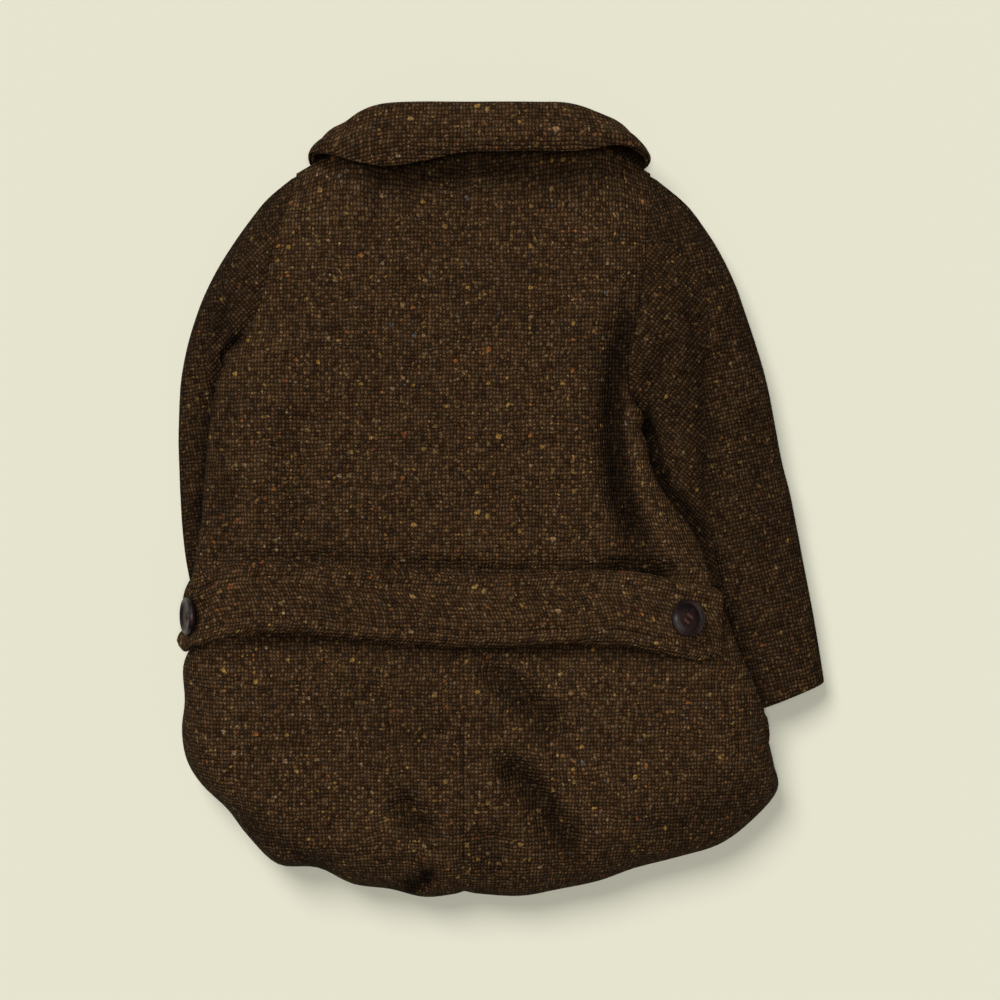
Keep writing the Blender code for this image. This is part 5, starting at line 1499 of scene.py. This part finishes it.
def turn_button(name, settings):
    """A turned, dished button with a rounded rim and four holes, on its back at the origin."""
    radius, height = settings.button / 2, BUTTON_THICKNESS * MM
    bpy.ops.object.select_all(action="DESELECT")
    bpy.ops.mesh.primitive_circle_add(vertices=64, radius=radius * BUTTON_BACK,
                                      fill_type="NGON")
    button = bpy.context.object
    button.name = name
    bpy.ops.object.mode_set(mode="EDIT")
    bpy.ops.mesh.select_all(action="SELECT")
    share, up = BUTTON_BACK, 0.0
    for next_share, next_up in BUTTON_STEPS:
        bpy.ops.mesh.extrude_region_move(
            TRANSFORM_OT_translate={"value": (0, 0, (next_up - up) * height)})
        bpy.ops.transform.resize(value=(next_share / share, next_share / share, 1))
        share, up = next_share, next_up
    bpy.ops.mesh.poke()
    bpy.ops.mesh.select_all(action="SELECT")
    bpy.ops.mesh.normals_make_consistent(inside=False)
    bpy.ops.object.mode_set(mode="OBJECT")
    cutters = []
    for x, y in ((1, 1), (-1, 1), (-1, -1), (1, -1)):
        bpy.ops.mesh.primitive_cylinder_add(
            vertices=20, radius=settings.button_hole / 2, depth=height * 3,
            location=(x * radius * HOLE_PLACE, y * radius * HOLE_PLACE, 0))
        cutters.append(bpy.context.object)
    for cutter in cutters:
        hole = button.modifiers.new("Hole", "BOOLEAN")
        hole.object = cutter
        hole.solver = "EXACT"
        bpy.context.view_layer.objects.active = button
        bpy.ops.object.modifier_apply(modifier=hole.name)
        bpy.data.objects.remove(cutter, do_unlink=True)
    soften = button.modifiers.new("Soften", "BEVEL")
    soften.width = 0.00018
    soften.segments = 2
    soften.angle_limit = math.radians(50)
    bpy.ops.object.modifier_apply(modifier=soften.name)
    bpy.ops.object.shade_smooth_by_angle(angle=math.radians(40))
    return button


def seat(piece, place, axis, spin):
    """Moves a piece made at the origin to its seat, and applies its place to its mesh."""
    bpy.ops.object.select_all(action="DESELECT")
    piece.select_set(True)
    bpy.context.view_layer.objects.active = piece
    turned = axis.to_track_quat("Z", "Y") @ Quaternion((0, 0, 1), spin)
    piece.rotation_euler = turned.to_euler()
    piece.location = place
    bpy.ops.object.transform_apply(location=True, rotation=True, scale=True)


def button_threads(name, settings):
    """The strands of thread that cross between the holes of a button at the origin."""
    radius, height = settings.button / 2, BUTTON_THICKNESS * MM
    apart = radius * HOLE_PLACE
    strands = []
    for y in (-1, 1):
        for offset in (-THREAD_APART, 0.0, THREAD_APART):
            bpy.ops.object.select_all(action="DESELECT")
            bpy.ops.mesh.primitive_cylinder_add(
                vertices=10, radius=THREAD_RADIUS, depth=2 * (apart + THREAD_PAST),
                rotation=(0, math.radians(90), 0),
                location=(0, y * apart + offset, height * THREAD_LEVEL))
            strand = bpy.context.object
            bpy.ops.object.transform_apply(location=True, rotation=True, scale=True)
            bpy.ops.object.mode_set(mode="EDIT")
            bpy.ops.mesh.select_all(action="SELECT")
            for _ in range(3):
                bpy.ops.mesh.subdivide(number_cuts=1)
            bpy.ops.object.mode_set(mode="OBJECT")
            for vertex in strand.data.vertices:
                bow = 1 - (vertex.co.x / (apart + THREAD_PAST)) ** 2
                vertex.co.z += THREAD_BOW * bow - THREAD_DOWN
            strands.append(strand)
    bpy.ops.object.select_all(action="DESELECT")
    for strand in strands:
        strand.select_set(True)
    bpy.context.view_layer.objects.active = strands[0]
    bpy.ops.object.join()
    strands[0].name = name
    bpy.ops.object.shade_smooth()
    return strands[0]


class COAT_OT_buttons(bpy.types.Operator):
    """Make the two buttons at the ends of the half belt, with their thread"""
    bl_idname = "coat.buttons"
    bl_label = "Half belt buttons"

    def execute(self, context):
        settings = Settings(context.scene)
        for side, spin in BUTTON_SPINS:
            place, axis = button_seat(f"belt_button_{side}")
            button = turn_button(f"horn_button_{side}", settings)
            seat(button, place, axis, spin)
            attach(button, "root")
            dress(button, horn(f"Horn {side}", settings),
                  f"belt_button_{side}")
            strands = button_threads(f"button_thread_{side}", settings)
            seat(strands, place, axis, spin)
            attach(strands, "root")
            dress(strands, thread(f"Button thread {side}", settings.button_thread),
                  None)
        return {"FINISHED"}


class COAT_OT_stage(bpy.types.Operator):
    """Make the floor, the lights and the camera"""
    bl_idname = "coat.stage"
    bl_label = "Floor, lights and camera"

    def execute(self, context):
        scene = context.scene
        stage = scene.coat_stage
        bpy.ops.object.select_all(action="DESELECT")
        bpy.ops.mesh.primitive_plane_add(size=FLOOR_SIZE, location=(0, 0, 0))
        floor = context.object
        floor.name = "floor"
        floor.data.materials.append(new_material(
            "Pale floor", Base_Color=(*stage.floor, 1.0), Roughness=0.9,
            Specular_IOR_Level=0.0)[0])
        world = bpy.data.worlds.new("Studio")
        scene.world = world
        world.use_nodes = True
        sky = world.node_tree.nodes["Background"]
        sky.inputs["Color"].default_value = (1.0, 1.0, 1.0, 1.0)
        sky.inputs["Strength"].default_value = stage.sky
        for (name, place, wide), strength in zip(LIGHTS, (stage.key_light, stage.top_light)):
            data = bpy.data.lights.new(name, "SUN")
            data.angle = math.radians(wide)
            data.energy = strength
            light = bpy.data.objects.new(name, data)
            light.location = place
            light.rotation_euler = (-Vector(place)).to_track_quat("-Z", "Y").to_euler()
            scene.collection.objects.link(light)
        data = bpy.data.cameras.new("Camera")
        data.lens = stage.lens
        camera = bpy.data.objects.new("Camera", data)
        camera.location = (-ORIGIN[0] * MM, -ORIGIN[1] * MM, stage.camera_height)
        scene.collection.objects.link(camera)
        scene.camera = camera
        scene.view_settings.view_transform = "Standard"
        return {"FINISHED"}


class COAT_PT_panel(bpy.types.Panel):
    """Sizes, colours and pieces of the coat"""
    bl_label = "Swing coat"
    bl_idname = "COAT_PT_panel"
    bl_space_type = "VIEW_3D"
    bl_region_type = "UI"
    bl_category = "Coat"

    def draw(self, context):
        scene = context.scene
        for title, group in (("Sizes", scene.coat_sizes), ("Colours", scene.coat_colours),
                             ("Stage", scene.coat_stage)):
            box = self.layout.box()
            box.label(text=title)
            for name in group.bl_rna.properties.keys():
                if name not in ("rna_type", "name"):
                    box.prop(group, name)
        for operator in OPERATORS:
            self.layout.operator(operator.bl_idname)


OPERATORS = (COAT_OT_stage, COAT_OT_back, COAT_OT_fronts, COAT_OT_sleeves, COAT_OT_collar,
             COAT_OT_half_belt, COAT_OT_buttons)
CLASSES = (CoatSizes, CoatColours, CoatStage, *OPERATORS, COAT_PT_panel)
GROUPS = {"coat_sizes": CoatSizes, "coat_colours": CoatColours, "coat_stage": CoatStage}


def register():
    """Adds the panel, the operators and the settings."""
    for item in CLASSES:
        bpy.utils.register_class(item)
    for name, group in GROUPS.items():
        setattr(bpy.types.Scene, name, bpy.props.PointerProperty(type=group))


def unregister():
    """Takes them away again."""
    for name in GROUPS:
        delattr(bpy.types.Scene, name)
    for item in reversed(CLASSES):
        bpy.utils.unregister_class(item)


def main():
    """Makes the coat and its stage."""
    register()
    for step in (bpy.ops.coat.stage, bpy.ops.coat.back, bpy.ops.coat.fronts,
                 bpy.ops.coat.sleeves, bpy.ops.coat.collar, bpy.ops.coat.half_belt,
                 bpy.ops.coat.buttons):
        if step() != {"FINISHED"}:
            raise RuntimeError("a step didn't finish")


if __name__ == "__main__":
    main()
